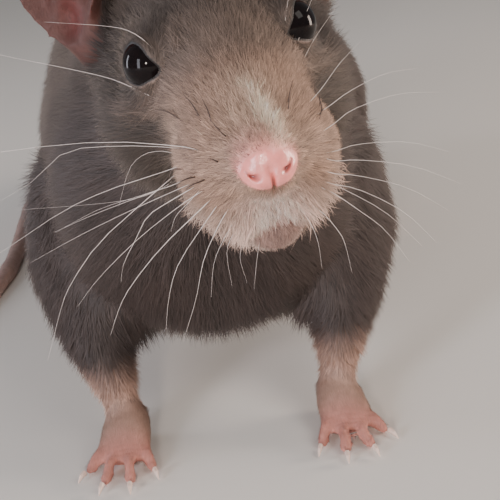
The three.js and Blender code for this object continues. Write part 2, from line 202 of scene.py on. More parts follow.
# %% Read the flesh nodes as welded meshes
LIMBS = ["ear", "foreleg", "forepaw", "hindleg", "hindfoot"]
FLESH = ["head", "nose", "jaw", "neck", "torso"]
FLESH += [part + "_" + side for side in SIDES for part in LIMBS]
FLESH += ["tail_%d" % number for number in range(1, 6)]
EYES = ["eye_right", "eye_left"]
SEAM = 0.3
SEAM_REACH = 2.2 * SEAM  # a corner this near to another node lies at a seam


def mesh_arrays(mesh):
    """A mesh's places in mm and the three corners of each of its triangles."""
    places = np.empty(len(mesh.vertices) * 3)
    mesh.vertices.foreach_get("co", places)
    mesh.calc_loop_triangles()
    corners = np.empty(len(mesh.loop_triangles) * 3, int)
    mesh.loop_triangles.foreach_get("vertices", corners)
    return places.reshape(-1, 3) / MM, corners.reshape(-1, 3)


def welded(name):
    """A CAD node's places and triangles, with the split corners of its faces joined."""
    places, triangles = mesh_arrays(nodes[name].data)
    merged, index = np.unique(places.round(3), axis=0, return_inverse=True)
    return merged, index.reshape(-1)[triangles]


def corner_sums(values, numbers, count):
    """For each of count vertices, the sum of the rows of values that name it."""
    return np.stack([np.bincount(numbers, column, count) for column in values.T], 1)


def vertex_normals(places, triangles):
    """Normals at the vertices, each face counted by its area."""
    first, second, third = (places[triangles[:, k]] for k in range(3))
    facing = np.cross(second - first, third - first)
    return unit(sum(corner_sums(facing, corner, len(places)) for corner in triangles.T))


solids = {name: welded(name) for name in FLESH + EYES}
print(len(solids), "nodes with", sum(len(t) for _, t in solids.values()), "triangles")

# %% Push the faces at each seam over the gap
BOX_MARGIN = 1  # only corners this near to a node's box are measured against it
trees = {name: BVHTree.FromPolygons(p.tolist(), t.tolist()) for name, (p, t) in solids.items()}
pushed = {}
for name, (places, triangles) in solids.items():
    at_seam = np.zeros(len(places), bool)
    for other, (near, _) in solids.items():
        if other == name:
            continue
        inside = ((places > near.min(0) - BOX_MARGIN) & (places < near.max(0) + BOX_MARGIN)).all(1)
        for i in np.nonzero(inside & ~at_seam)[0]:
            at_seam[i] = trees[other].find_nearest(places[i].tolist(), SEAM_REACH)[0] is not None
    pushed[name] = places + vertex_normals(places, triangles) * at_seam[:, None] * SEAM
print("moved", sum(int((pushed[n] != solids[n][0]).any(1).sum()) for n in solids), "corners at the seams")

# %% Pour the solids together
VOXEL = 0.6  # small enough to keep the toes apart


def mesh_from(name, places, triangles):
    """A Blender mesh from places in mm and an array of triangles."""
    mesh = bpy.data.meshes.new(name)
    mesh.vertices.add(len(places))
    mesh.vertices.foreach_set("co", (places * MM).astype(np.float32).ravel())
    mesh.loops.add(triangles.size)
    mesh.loops.foreach_set("vertex_index", triangles.astype(np.int32).ravel())
    mesh.polygons.add(len(triangles))
    mesh.polygons.foreach_set("loop_start", np.arange(0, triangles.size, 3, dtype=np.int32))
    mesh.update(calc_edges=True)
    mesh.validate()
    return mesh


def stacked(pieces):
    """Many pairs of places and triangles as one pair."""
    starts = np.cumsum([0] + [len(places) for places, _ in pieces])
    triangles = [faces + start for (_, faces), start in zip(pieces, starts)]
    return np.vstack([places for places, _ in pieces]), np.vstack(triangles)


all_places, all_triangles = stacked([(pushed[name], solids[name][1]) for name in solids])
poured = link(bpy.data.objects.new("poured", mesh_from("poured", all_places, all_triangles)))
remesh = poured.modifiers.new("pour", "REMESH")
remesh.mode = "VOXEL"
remesh.voxel_size = VOXEL * MM
graph = bpy.context.evaluated_depsgraph_get()
made = bpy.data.meshes.new_from_object(poured.evaluated_get(graph))
skin_places, skin_triangles = mesh_arrays(made)
bpy.data.objects.remove(poured)
bpy.data.meshes.remove(made)


def largest_piece(places, triangles):
    """Only the largest connected surface, so that no bubble stays inside."""
    label = np.arange(len(places))
    while True:
        lowest = label[triangles].min(axis=1)
        fresh = label.copy()
        for corner in triangles.T:
            np.minimum.at(fresh, corner, lowest)
        fresh = fresh[fresh]
        if (fresh == label).all():
            break
        label = fresh
    names, sizes = np.unique(label, return_counts=True)
    keep = label == names[sizes.argmax()]
    index = np.cumsum(keep) - 1
    return places[keep], index[triangles[keep[triangles].all(1)]]


skin_places, skin_triangles = largest_piece(skin_places, skin_triangles)
print("poured skin:", len(skin_places), "vertices,", len(skin_triangles), "triangles")

# %% [markdown]
# ## Which part is which
# Each place on the skin must know what it belongs to, because a cheek, an ear and a toe differ in coat,
# colour and softness. Hard borders would show as lines. So each vertex takes the name of the nearest solid,
# and the shares are then blurred over the surface until one part fades into the next.

# %% Give each vertex its share of every part
PARTS = ["head", "nose", "jaw", "body", "foreleg", "forepaw", "hindleg", "hindfoot", "ear", "tail", "eye"]
PART_OF = {"neck": "body", "torso": "body"}
SHARE_BLUR = 8  # rounds


def edges_of(triangles):
    """The two ends of each side of each triangle, in order."""
    sides = np.vstack([triangles[:, (0, 1)], triangles[:, (1, 2)], triangles[:, (2, 0)]])
    return np.sort(sides, axis=1)


def neighbour_mean(values, edges):
    """For each vertex, the mean of the values of its neighbours."""
    count = len(values)
    ends = edges.T
    total = corner_sums(values[ends[1]], ends[0], count) + corner_sums(values[ends[0]], ends[1], count)
    return total / np.bincount(edges.ravel(), minlength=count)[:, None]


def relaxed(values, edges, share=0.5, rounds=1):
    """Values moved by a share of the way to the mean of their neighbours, once or more."""
    for _ in range(rounds):
        values = values + share * (neighbour_mean(values, edges) - values)
    return values


def share_in(parts, *names):
    """The share of one or more parts, from rows of the shares of all parts."""
    return sum(parts[:, PARTS.index(name)] for name in names)


def part_mean(table, parts):
    """A value of each part, mixed by the parts' shares at each place."""
    return parts @ np.array([table[part] for part in PARTS], float)


owner = np.concatenate([np.full(len(solids[name][1]), number) for number, name in enumerate(solids)])
part_number = [PARTS.index(PART_OF.get(name, name.split("_")[0])) for name in solids]
tree = BVHTree.FromPolygons(all_places.tolist(), all_triangles.tolist())
nearest = np.array([tree.find_nearest(place)[2] for place in skin_places.tolist()])
skin_edges = np.unique(edges_of(skin_triangles), axis=0)
shares = relaxed(np.eye(len(PARTS))[np.array(part_number)[owner[nearest]]], skin_edges, rounds=SHARE_BLUR)
print("skin edges:", len(skin_edges), "mean shares:", dict(zip(PARTS, shares.mean(0).round(3))))

# %% [markdown]
# ## Smooth the skin
# Averaging each vertex with its neighbours wipes out facets and the creases of the seams, but it also
# shrinks what is thin. Smoothing forwards and backwards in turn keeps the size, so the whole skin starts
# with that. Then the trunk and the legs are averaged strongly, the head less, and the toes and the tail
# hardly at all. The ears get many more turns of the first kind and a few of the second.

# %% Smooth by part
SOFTNESS = {
    "head": 0.35, "nose": 0.12, "jaw": 0.35, "body": 0.9, "foreleg": 0.75, "forepaw": 0.1,
    "hindleg": 0.85, "hindfoot": 0.1, "ear": 0.1, "tail": 0.12, "eye": 0.2,
}
SMOOTH_ROUNDS = 70
KEEP_ROUNDS = 12
EAR_ROUNDS = 60
RIM_ROUNDS = 14  # for the rims of the ears


def evened(places, edges, forth, back, rounds):
    """Places smoothed forwards by one share and backwards by another in turn, which keeps their size."""
    for _ in range(rounds):
        places = relaxed(places, edges, forth)
        places = relaxed(places, edges, -back)
    return places


softness = part_mean(SOFTNESS, relaxed(shares, skin_edges, rounds=10))[:, None]
skin_places = evened(skin_places, skin_edges, 0.5, 0.52, KEEP_ROUNDS)
skin_places = relaxed(skin_places, skin_edges, 0.6 * softness ** 1.5, SMOOTH_ROUNDS)
ear_share = share_in(shares, "ear")[:, None]
skin_places = evened(skin_places, skin_edges, 0.5 * ear_share, 0.51 * ear_share, EAR_ROUNDS)
skin_places = relaxed(skin_places, skin_edges, 0.5 * ear_share, RIM_ROUNDS)
print("skin spans", np.ptp(skin_places, axis=0).round(1), "mm")

# %% [markdown]
# ## Sink the skin by the depth of the coat
# The solids reach to the tips of the hair, and skin lies under it: about 2.5 mm down on the trunk, 1 mm on
# the muzzle, and almost nothing on the feet, ears, tail and nose. A map of that depth is painted over the
# skin, which then moves inwards along its normals.

# %% Work out how deep the coat is and move the skin
COAT_DEPTH = {
    "head": 1.6, "nose": 0.0, "jaw": 0.8, "body": 2.6, "foreleg": 1.6, "forepaw": 0.35,
    "hindleg": 2.1, "hindfoot": 0.35, "ear": 0.08, "tail": 0.2, "eye": 0.2,
}
MUZZLE_THINNER = 0.5  # how much shallower, in mm, the coat gets towards the nose
NOSE_TIP = np.array([0, -24.4, -9.2])
SOLE_DEPTH = 1.6  # below this height the soles and the tail press the coat flat
SOLE_BARE = 0.3  # and below this there is no coat
FLOOR_GAP = 0.02

local = to_head(skin_places)
on_head = share_in(shares, "head")
depth = part_mean(COAT_DEPTH, shares)
depth -= MUZZLE_THINNER * on_head * rise(local[:, 1], 12, 0) * rise(local[:, 1], 2, -12)
depth *= 1 - 0.75 * rise(eye_gap(local), 7.5, 4.2) * on_head
depth *= 1 - 0.7 * rise(distance(local, NOSE_TIP), 7, 3.5) * (share_in(shares, "body") < 0.5)
depth = relaxed(depth[:, None], skin_edges, rounds=6) * rise(skin_places[:, [2]], SOLE_BARE, SOLE_DEPTH)
skin_places = skin_places - vertex_normals(skin_places, skin_triangles) * depth
skin_places = relaxed(skin_places, skin_edges, 0.4 * softness)
skin_places[:, 2] = np.maximum(skin_places[:, 2], FLOOR_GAP)
print("coat depth from", depth.min().round(2), "to", depth.max().round(2), "mm")

# %% [markdown]
# ## More faces where the face is
# Nostrils, lids and lips are smaller than the faces of the remesh. Finer faces everywhere would make the
# mesh too heavy, so only the triangles near the nose, the mouth and the eyes are split in four, twice.

# %% Split the triangles near the nose, the mouth and the eyes
MOUTH = np.array([0, -18.2, -20.0])
SPLIT_REACHES = [{"nose": 10.5, "eye": 6.2, "mouth": 7.5}, {"nose": 5.6, "eye": 4.6, "mouth": 4.0}]


def split(places, triangles, values, chosen):
    """Splits each edge between two chosen vertices. values are carried along, halfway between the ends."""
    edges, of_side = np.unique(edges_of(triangles), axis=0, return_inverse=True)
    cut = chosen[edges].all(1)
    middle = np.where(cut, len(places) + np.cumsum(cut) - 1, -1)
    ends = edges[cut]
    places = np.vstack([places, places[ends].mean(1)])
    values = np.vstack([values, values[ends].mean(1)])
    sides = middle[of_side.reshape(3, -1).T]
    whole = (sides < 0).all(1)
    full = (sides >= 0).all(1)
    result = [triangles[whole]]
    (a, b, c), (ab, bc, ca) = triangles[full].T, sides[full].T
    result += [np.stack(t, 1) for t in ((a, ab, ca), (ab, b, bc), (ca, bc, c), (ab, bc, ca))]
    for turn in range(3):
        one = ~whole & ~full & (sides[:, turn] >= 0)
        a, b, c = np.roll(triangles[one], -turn, axis=1).T
        m = sides[one, turn]
        result += [np.stack((a, m, c), 1), np.stack((m, b, c), 1)]
    return places, np.vstack(result), values


for reach in SPLIT_REACHES:
    local = to_head(skin_places)
    near = (distance(local, NOSE_TIP) < reach["nose"]) | (eye_gap(local) < reach["eye"])
    near |= distance(local, MOUTH) < reach["mouth"]
    skin_places, skin_triangles, shares = split(skin_places, skin_triangles, shares, near)
    skin_edges = np.unique(edges_of(skin_triangles), axis=0)
    near = np.concatenate([near, np.ones(len(skin_places) - len(near), bool)])
    skin_places[near] = relaxed(skin_places, skin_edges)[near]
print("skin now:", len(skin_places), "vertices,", len(skin_triangles), "triangles")

# %% [markdown]
# ## Nose, nostrils and mouth
# The bare pad is two soft lobes with a cleft between them. Each nostril is a comma: a round hole near the
# middle with a tail that curls up and outwards. Below the cleft a slit runs down to the lip. Cutting these
# with booleans would leave sharp, broken edges. Here each one is a line in the head's frame, and the skin
# near the line is pushed in by a smooth profile.

# %% The lines of the nose and the mouth
NOSTRIL = [(1.55, 0, -9.55), (1.9, 0, -9.45), (2.25, 0, -9.15), (2.5, 0, -8.8)]
NOSTRIL_DEPTH = 0.95
NOSTRIL_FLARE = 0.3  # how far the dent leans outwards
LOBE = np.array([1.25, 0, -10.2])  # the middle of the left one
LOBE_SIZE = 1.1
LOBE_SWELL = 0.35
CLEFT = [(0.1, 0, -8.8), (0.1, 0, -10.0), (0.1, 0, -12.0), (0, 0, -16.6)]
MOUTH_LINE = [
    (0, -19.3, -17.9), (1.3, -18.9, -18.3), (2.7, -17.2, -19.6), (4.4, -14.2, -20.6), (6.0, -9.5, -20.6),
]
MOUTH_WIDTH = 0.42
MOUTH_DEPTH = 0.75
LOWER_LIP = np.array([0.2, -17.6, -20.4])
LOWER_LIP_SIZE = 1.6
LOWER_LIP_SWELL = 0.5


def line_gap(places, line):
    """How far each place is from a line of points, and how far along the line that is, from 0 to 1."""
    line = np.asarray(line, float)
    best = np.full(len(places), np.inf)
    along = np.zeros(len(places))
    for i, (start, end) in enumerate(zip(line[:-1], line[1:])):
        step = end - start
        share = np.clip((places - start) @ step / (step @ step), 0, 1)
        gap = distance(places - start, share[:, None] * step)
        closer = gap < best
        best[closer] = gap[closer]
        along[closer] = (i + share[closer]) / (len(line) - 1)
    return best, along


print("the left corner of the mouth is at", from_head(MOUTH_LINE[-1]).round(1))

# %% Press the lines into the skin
local = to_head(skin_places)
front = rise(local[:, 1], -18.5, -20)  # only the front of the muzzle
flat = local * (1, 0, 1)
hole_shade = np.zeros(len(local))  # how much a place is inside a hole, where shade is painted
for side in SIDES.values():
    gap, along = line_gap(flat, np.array(NOSTRIL) * (side, 1, 1))
    width = 0.34 - 0.2 * along
    dent = hill(gap, width) * (1 - 0.72 * rise(along, 0.1, 0.9)) * front
    local += np.outer(dent, (side * NOSTRIL_FLARE, NOSTRIL_DEPTH, 0))
    local[:, 1] -= LOBE_SWELL * hill(distance(flat, LOBE * (side, 1, 1)), LOBE_SIZE) * front
    # painted shade inside the nostril
    hole_shade = np.maximum(hole_shade, hill(gap, width * 0.85) * (1 - 0.6 * along) * front)
gap, along = line_gap(flat, CLEFT)
cleft = hill(gap, 0.2 + 0.3 * rise(along, 0.3, 0)) * front
local[:, 1] += cleft * (0.3 + 0.55 * rise(along, 0.1, 0.4) - 0.6 * rise(along, 0.55, 0.85))
slit = rise(along, 0.28, 0.42) * rise(along, 0.64, 0.52)
# painted shade in the slit below the cleft
hole_shade = np.maximum(hole_shade, 0.75 * hill(gap, 0.12) * slit * front)
gap, along = line_gap(to_left_half(local), MOUTH_LINE)
lips = hill(gap, MOUTH_WIDTH) * rise(along, 1, 0.75)
swell = hill(distance(local, LOWER_LIP), LOWER_LIP_SIZE)
local[:, 1] += MOUTH_DEPTH * lips - LOWER_LIP_SWELL * swell
# painted shade in the line of the mouth
hole_shade = np.maximum(hole_shade, 0.7 * lips)
skin_places = from_head(local)
print(int((dent > 0.5).sum()), "vertices in the left nostril and", int((lips > 0.5).sum()), "in the mouth")

# %% [markdown]
# ## Eyelids
# The eye is a ball that fills an opening with a pointed front corner. The skin is pressed under the ball
# inside the opening, laid on the ball along its edge, and raised into a thin rolled lid around it. Working
# in angles round the ball's centre keeps the lid at an even height all the way round.

# %% The opening between the lids
EYE_OUTWARD = np.array([0.8, -0.54, 0.28])  # the way that the left eye looks, in the head's frame
EYE_REACH = 7  # the skin within this of an eyeball's centre is fitted to it
LID_HEIGHT = 0.3
LID_ROLL = 0.3  # how soon the lid rises to its height
LID_EDGE = 0.13  # half the width of the band that lies on the ball
UNDER_BALL = 0.6  # how deep the skin inside the opening lies under the ball's surface
OPENING = 2.35
CORNER = 0.7  # how much further the opening reaches at its front corner
CORNER_AT = math.radians(-10)
OVAL = 0.12  # how much further it reaches where it is widest than it does on average
WIDEST_AT = math.radians(-35)
LID_LINE_AT = math.radians(-55)


def eye_axes(side):
    """The outward, forward and upward axes of an eye, in the head's frame."""
    outward = unit(EYE_OUTWARD * (side, 1, 1))
    upward = unit(np.array([0, 0, 1]) - outward * outward[2])
    forward = np.cross(upward, outward)
    return outward, forward if forward[1] < 0 else -forward, upward


def edge_angle(angle):
    """The edge of the opening as a tilt from the outward axis, by the angle round the eye from its front."""
    corner = np.maximum(np.cos(angle - CORNER_AT), 0) ** 10
    radius = OPENING + CORNER * corner + OVAL * np.cos(2 * (angle - WIDEST_AT))
    return np.arcsin(np.clip(radius / EYE_RADIUS, 0, 0.97))


print("the front corner lies", round(math.degrees(edge_angle(CORNER_AT))), "degrees from the eye's middle")

# %% Fit the lids round the eyeballs
local = to_head(skin_places)
lid = np.zeros(len(local))
lid_line = np.zeros(len(local))  # the pale rim of the lower lid
for side in SIDES.values():
    centre = EYE_PLACE * (side, 1, 1)
    outward, forward, upward = eye_axes(side)
    own = distance(local, centre)
    close = own < EYE_REACH
    own = own[close]
    ray = unit(local[close] - centre)
    in_front = ray @ outward > -0.1
    angle = np.arctan2(ray @ upward, ray @ forward)
    tilt = np.arccos(np.clip(ray @ outward, -1, 1))
    edge = edge_angle(angle)
    past = EYE_RADIUS * (tilt - edge)  # mm outside the opening's edge, along the ball
    on_edge = np.abs(past) < LID_EDGE
    tilt = np.where(on_edge, edge, tilt)
    rolled = EYE_RADIUS + 0.05 + LID_HEIGHT * (1 - np.exp(-np.maximum(past, 0) / LID_ROLL))
    outside = rolled + (np.maximum(own, EYE_RADIUS + 0.12) - rolled) * rise(past, 0.7, 2.4)
    radius = np.where(on_edge, EYE_RADIUS + 0.03, outside)
    radius = np.where(past < -LID_EDGE, EYE_RADIUS - UNDER_BALL, radius)
    radius = np.where(in_front, radius, own)
    around = np.outer(np.cos(angle), forward) + np.outer(np.sin(angle), upward)
    ray = np.outer(np.cos(tilt), outward) + np.sin(tilt)[:, None] * around
    local[close] = centre + ray * radius[:, None]
    lid[close] = np.maximum(lid[close], rise(past, 0.55, 0.2) * in_front)
    below = np.maximum(np.cos(angle - LID_LINE_AT), 0) ** 2
    lid_line[close] = np.maximum(lid_line[close], below * rise(past, 0.2, 0.35) * rise(past, 0.7, 0.5))
skin_places = from_head(local)
print("lid vertices:", int((lid > 0.5).sum()))

# %% [markdown]
# ## Markings
# The coat is a warm beige-grey on the muzzle, paler on the lips, taupe on the forehead, and a dark brown-grey
# on the cheeks, neck and body, with white socks. Painted light lies over it: a painted highlight along the
# bridge of the nose, painted shade that deepens the cheeks below the eyes and darkens the head beside the
# ears, and more painted shade in the skin of the ears. One function gives the colour of any place, from
# layers that cover each other in part. The skin and every tuft of the coat ask it, so that they always agree.

# %% The tints and the places of the small markings
MUZZLE = linear("#a68876")
# painted highlight: light catching the bridge of the nose, drawn as a pale stripe
BRIDGE_HIGHLIGHT = linear("#ffdfc6")
LOW_MUZZLE = linear("#d0b3a4")
UPPER_LIP = linear("#fbd6c9")
LOWER_LIP_SKIN = linear("#a07f77")
FOREHEAD = linear("#75655b")
CROWN = linear("#49413d")
# the dark brown-grey of the cheeks, deepened with painted shade below and behind the eyes
CHEEK_AND_SHADE = linear("#40362f")
BODY = linear("#433936")
BACK = linear("#3d3431")
SHADE_BESIDE_EARS = linear("#322a27")
# painted shade on the sides of the head, behind the eyes and beside the ears
BELLY = linear("#5a4f4b")
SOCK = linear("#ab8a7b")
TOE = linear("#c08478")
# the dark pink-brown of the ear skin, darkened further with painted shade
EAR_AND_SHADE = linear("#573630")
TAIL = linear("#9a8078")
NOSE = linear("#f3938b")
SOCK_TOP = 13.5
PAD_MIDDLE = -8.75  # how high the bare pad of the nose is widest, in the head's frame
EAR_ROOT = np.array([14.5, 17.5, 0.0])
EAR_CUP = np.array([16.0, 15.6, 3.6])  # the bottom of the left ear's cup
EAR_OPENING = unit(np.array([0.81, -0.86, 0.06]))
EAR_CANAL = np.array([17.9, 12.9, 3.6])  # where the painted shade in the hollow of the left ear is darkest


def ear_base(head):
    """How much a place in the head's frame is at the furred root of an ear."""
    mirrored = to_left_half(head)
    behind = rise((mirrored - EAR_CUP) @ EAR_OPENING, -0.6, -1.8)
    return rise(distance(mirrored, EAR_ROOT), 9.5, 5.5) * behind


def toes(places, parts):
    """How much a place of the row frame is on a toe."""
    fore = rise(places[:, 1], -62, -67) * share_in(parts, "forepaw")
    return fore + rise(places[:, 1], 19, 13) * share_in(parts, "hindfoot")


def pad(head):
    """How much a place in the head's frame is on the bare pad of the nose, which fades out at its top."""
    x, y, z = head.T
    fade = rise(z, -9, -6.5)
    reach = np.hypot(x / 3.4, (z - PAD_MIDDLE) / np.where(z < PAD_MIDDLE, 2.6, 3.2))
    return rise(reach, 1.06 + 0.16 * fade, 0.94 - 0.6 * fade) * rise(y, -18.5, -19.5)


print("a toe and the pad of the nose, in linear light:", TOE.round(3), NOSE.round(3))

# %% The colour of each place
def bridge_highlight(x, y, z):
    """How much a place in the head's frame takes the painted highlight on the bridge of the nose, a soft
    stripe.
    """
    middle = np.clip(0.3 - 0.27 * (y + 14.7), 0.3, 2.0)
    stripe = hill(x - middle, 0.7 + 0.6 * rise(y, -14, -20))
    stripe *= 0.65 * rise(y, -13, -16) + 0.35 * rise(y, -16, -19)
    border = 0.25 * hill(x - 0.5, 2.8) * rise(y, -11, -16)
    return np.maximum(stripe, border) * rise(z, -9, -6.5)


def markings(places, parts):
    """The colour of the coat at each place, and of the bare skin of the nose, ears and tail."""
    head = to_head(places)
    x, y, z = head.T
    back, height = places[:, 1], places[:, 2]
    on_top = rise(z + 0.32 * y, -9, -3)
    # where the painted shade beside the ears lies
    shade_beside_ears = rise(y, -1, 3) * rise(abs(x), 9, 12.5) * rise(y, 22, 14)
    above_lip = hill(x, 3.2) * rise(z, -11.5, -13.5) * rise(z, -19, -17) * rise(y, -15, -18)
    trunk = mix(mix(BODY, BACK, rise(height, 40, 62)), BELLY, rise(height, 16, 8) * rise(back, -45, -30))
    legs = share_in(parts, "foreleg") + 0.6 * share_in(parts, "hindleg")
    sock = rise(height, SOCK_TOP + 2, SOCK_TOP - 4) * rise(legs, 0.3, 0.7)
    layers = [
        (FOREHEAD, rise(y, -16.5, -8.5) * on_top),
        (FOREHEAD, rise(y, -10, -3) * (1 - on_top)),
        # the darker cheeks, with painted shade below and behind the eyes
        (CHEEK_AND_SHADE, rise(y, -10, -2) * rise(z, -4, -9) * (1 - on_top)),
        (CROWN, rise(y, -8, 0) * on_top),
        (BODY, rise(y, -1, 6) * (1 - 0.6 * on_top)),
        # painted shade beside the ears
        (SHADE_BESIDE_EARS, shade_beside_ears),
        # painted highlight along the bridge of the nose
        (BRIDGE_HIGHLIGHT, bridge_highlight(x, y, z)),
        (LOW_MUZZLE, rise(z, -12.5, -16.5) * rise(y, -8, -13)),
        (UPPER_LIP, 0.85 * above_lip),
        (trunk, rise(share_in(parts, "body", "hindleg", "foreleg"), 0.1, 0.75)),
        (SOCK, np.maximum(rise(share_in(parts, "forepaw", "hindfoot"), 0.2, 0.7), sock)),
        # the ear skin, with painted shade in its colour
        (EAR_AND_SHADE, rise(share_in(parts, "ear"), 0.35, 0.8) * (1 - 0.85 * ear_base(head))),
        (TAIL, rise(share_in(parts, "tail"), 0.3, 0.8)),
        (TOE, toes(places, parts)),
        (LOWER_LIP_SKIN, 0.85 * rise(distance(head, LOWER_LIP), 4.8, 2.8)),
        (NOSE, pad(head)),
    ]
    colour = MUZZLE
    for tint, cover in layers:
        colour = mix(colour, tint, cover)
    return colour


skin_colour = markings(skin_places, shares)
# painted shade in the hollow of each ear, added to the shade of the holes
ear_canal_shade = rise(distance(to_left_half(local), EAR_CANAL), 3.4, 1.6) * share_in(shares, "ear")
hole_shade = np.maximum(hole_shade, 0.7 * ear_canal_shade)
print("mean skin colour:", skin_colour.mean(0).round(3))

# %% [markdown]
# ## Materials by nodes
# Every finish is built from nodes, so that its pattern follows real sizes in millimetres. One small
# function adds a node, gives it settings, and links its inputs.

# %% The node helper
def paint(code):
    """An sRGB hex code as the colour of a shader's socket."""
    return (*linear(code), 1)


def add_node(tree, kind, inputs=None, **settings):
    """Adds a node of a kind, sets its properties, and fills or links its inputs by name or number."""
    node = tree.nodes.new(kind)
    for name, value in settings.items():
        setattr(node, name, value)
    for name, value in (inputs or {}).items():
        if isinstance(value, bpy.types.NodeSocket):
            tree.links.new(value, node.inputs[name])
        else:
            node.inputs[name].default_value = value
    return node


def new_material(name):
    """A material with an empty node tree, and that tree."""
    material = bpy.data.materials.new(name)
    material.use_nodes = True
    material.node_tree.nodes.clear()
    return material, material.node_tree


print("a shader's white:", paint("#ffffff"))

# %% [markdown]
# ## The finish of the skin
# Under the coat the skin is matt and takes the colour of the hair over it, with a fine bump all over. The
# nose is moist leather with tiny pimples, the ears are thin and a little shiny, and the tail has rings of
# scales about 1 mm apart. One material holds all four, and soft masks lead from one to the next. Painted
# shade turns the holes of the nostrils, the slit, the mouth and the ears dark red.

# %% Make the skin's material
PIMPLE = 0.3  # mm, the size of one
MOTTLE = 1.6  # mm, the size of a patch of the uneven tone
BUMP_DEPTH = 0.06  # mm
skin_finish, tree = new_material("rat_skin")
seen = {
    name: add_node(tree, "ShaderNodeAttribute", attribute_name=name)
    for name in ("marking", "bare", "hollow_shade", "ring", "ringed")
}
place = add_node(tree, "ShaderNodeTexCoord").outputs["Object"]
pimples = add_node(tree, "ShaderNodeTexVoronoi", {"Vector": place, "Scale": 1 / (PIMPLE * MM)})
mottle = add_node(tree, "ShaderNodeTexNoise", {"Vector": place, "Scale": 1 / (MOTTLE * MM), "Detail": 4.0})
tone = add_node(
    tree, "ShaderNodeMapRange",
    {"Value": mottle.outputs["Fac"], "From Min": 0.3, "From Max": 0.7, "To Min": 0.85, "To Max": 1.1},
)
toned = add_node(
    tree, "ShaderNodeVectorMath",
    {0: seen["marking"].outputs["Color"], "Scale": tone.outputs["Result"]}, operation="SCALE",
)
# painted shade: the holes of the nostrils, the slit, the mouth and the ears turn dark red
inside = add_node(
    tree, "ShaderNodeMix",
    {0: seen["hollow_shade"].outputs["Fac"], 6: toned.outputs["Vector"], 7: paint("#6e2d2b")}, data_type="RGBA",
)
turns = add_node(
    tree, "ShaderNodeMath", {0: seen["ring"].outputs["Fac"], 1: 2 * math.pi}, operation="MULTIPLY"
)
wave = add_node(tree, "ShaderNodeMath", {0: turns.outputs[0]}, operation="SINE")
ringed = add_node(
    tree, "ShaderNodeMath", {0: wave.outputs[0], 1: seen["ringed"].outputs["Fac"]}, operation="MULTIPLY"
)
height = add_node(
    tree, "ShaderNodeMath", {0: pimples.outputs["Distance"], 1: ringed.outputs[0]}, operation="ADD"
)
bump = add_node(
    tree, "ShaderNodeBump", {"Height": height.outputs[0], "Distance": BUMP_DEPTH * MM, "Strength": 0.35}
)
bare = seen["bare"].outputs["Fac"]
rough = add_node(tree, "ShaderNodeMapRange", {"Value": bare, "To Min": 0.75, "To Max": 0.3})
shine = add_node(tree, "ShaderNodeMapRange", {"Value": bare, "To Min": 0.3, "To Max": 1.0})
skin_shader = add_node(
    tree, "ShaderNodeBsdfPrincipled",
    {
        "Base Color": inside.outputs[2], "Roughness": rough.outputs[0], "Normal": bump.outputs[0],
        "Specular IOR Level": shine.outputs[0],
        "Subsurface Weight": 0.15, "Subsurface Radius": (1.0, 0.35, 0.25), "Subsurface Scale": 0.8 * MM,
    },
)
add_node(tree, "ShaderNodeOutputMaterial", {"Surface": skin_shader.outputs[0]})
print("skin material with", len(tree.nodes), "nodes")

# %% [markdown]
# ## The tail's rings
# The rings of scales need a number that counts millimetres along the tail. The middle of the tail is known
# from the frame's five lengths, so a smooth line through the middles of thin slices would do, but the
# route of the tail is simple enough to name: it leaves the rump, bends and lies along the right flank.

# %% Count the rings along the tail
RING = 0.95  # mm from one ring of scales to the next
TOE_CREASE = 0.7  # mm from one crease of a toe to the next
ON_TAIL = 0.02  # the least share of the tail at which a place is measured along it
TAIL_ROUTE = [
    (9.4, 61.5, 17), (8.4, 72.5, 11), (3.4, 82.5, 6.8), (-7.6, 90.5, 4), (-21.6, 92, 3.7),
    (-33.6, 83.5, 3.4), (-39.6, 67.5, 3), (-40.6, 49.5, 2.6), (-40.1, 31.5, 2.2), (-40.6, 13.5, 1.8),
    (-43.6, -3.5, 1.4), (-49.6, -17.5, 1.1),
]


def smooth_line(points, count):
    """A line of count points on a smooth curve through the given ones."""
    points = np.asarray(points, float)
    ghost = np.vstack([2 * points[0] - points[1], points, 2 * points[-1] - points[-2]])
    at = np.linspace(0, len(points) - 1, count)
    i = np.minimum(at.astype(int), len(points) - 2)
    t = (at - i)[:, None]
    a, b, c, d = ghost[i], ghost[i + 1], ghost[i + 2], ghost[i + 3]
    return b + 0.5 * t * (c - a + t * (2 * a - 5 * b + 4 * c - d + t * (3 * (b - c) + d - a)))


tail_line = smooth_line(TAIL_ROUTE, 120)
tail_length = np.linalg.norm(np.diff(tail_line, axis=0), axis=1).sum()
on_tail = share_in(shares, "tail") > ON_TAIL
ring_count = skin_places[:, 1] / TOE_CREASE
ring_count[on_tail] = line_gap(skin_places[on_tail], tail_line)[1] * tail_length / RING
print("tail length", round(tail_length, 1), "mm")

# %% [markdown]
# ## Pieces
# Each visible piece is a mesh with smooth shading that rides on the rat's one body. Its colours and masks
# are numbers kept at its corners, which travel with the mesh. A function puts all that together, so that
# every piece below is made in the same way.

# %% The piece helpers
def add_attribute(mesh, name, values):
    """A number or a colour for each vertex, which a material can read."""
    values = np.asarray(values, np.float32)
    if values.ndim == 1:
        mesh.attributes.new(name, "FLOAT", "POINT").data.foreach_set("value", values)
    else:
        colour = np.ones((len(values), 4), np.float32)
        colour[:, :3] = values
        mesh.attributes.new(name, "FLOAT_COLOR", "POINT").data.foreach_set("color", colour.ravel())


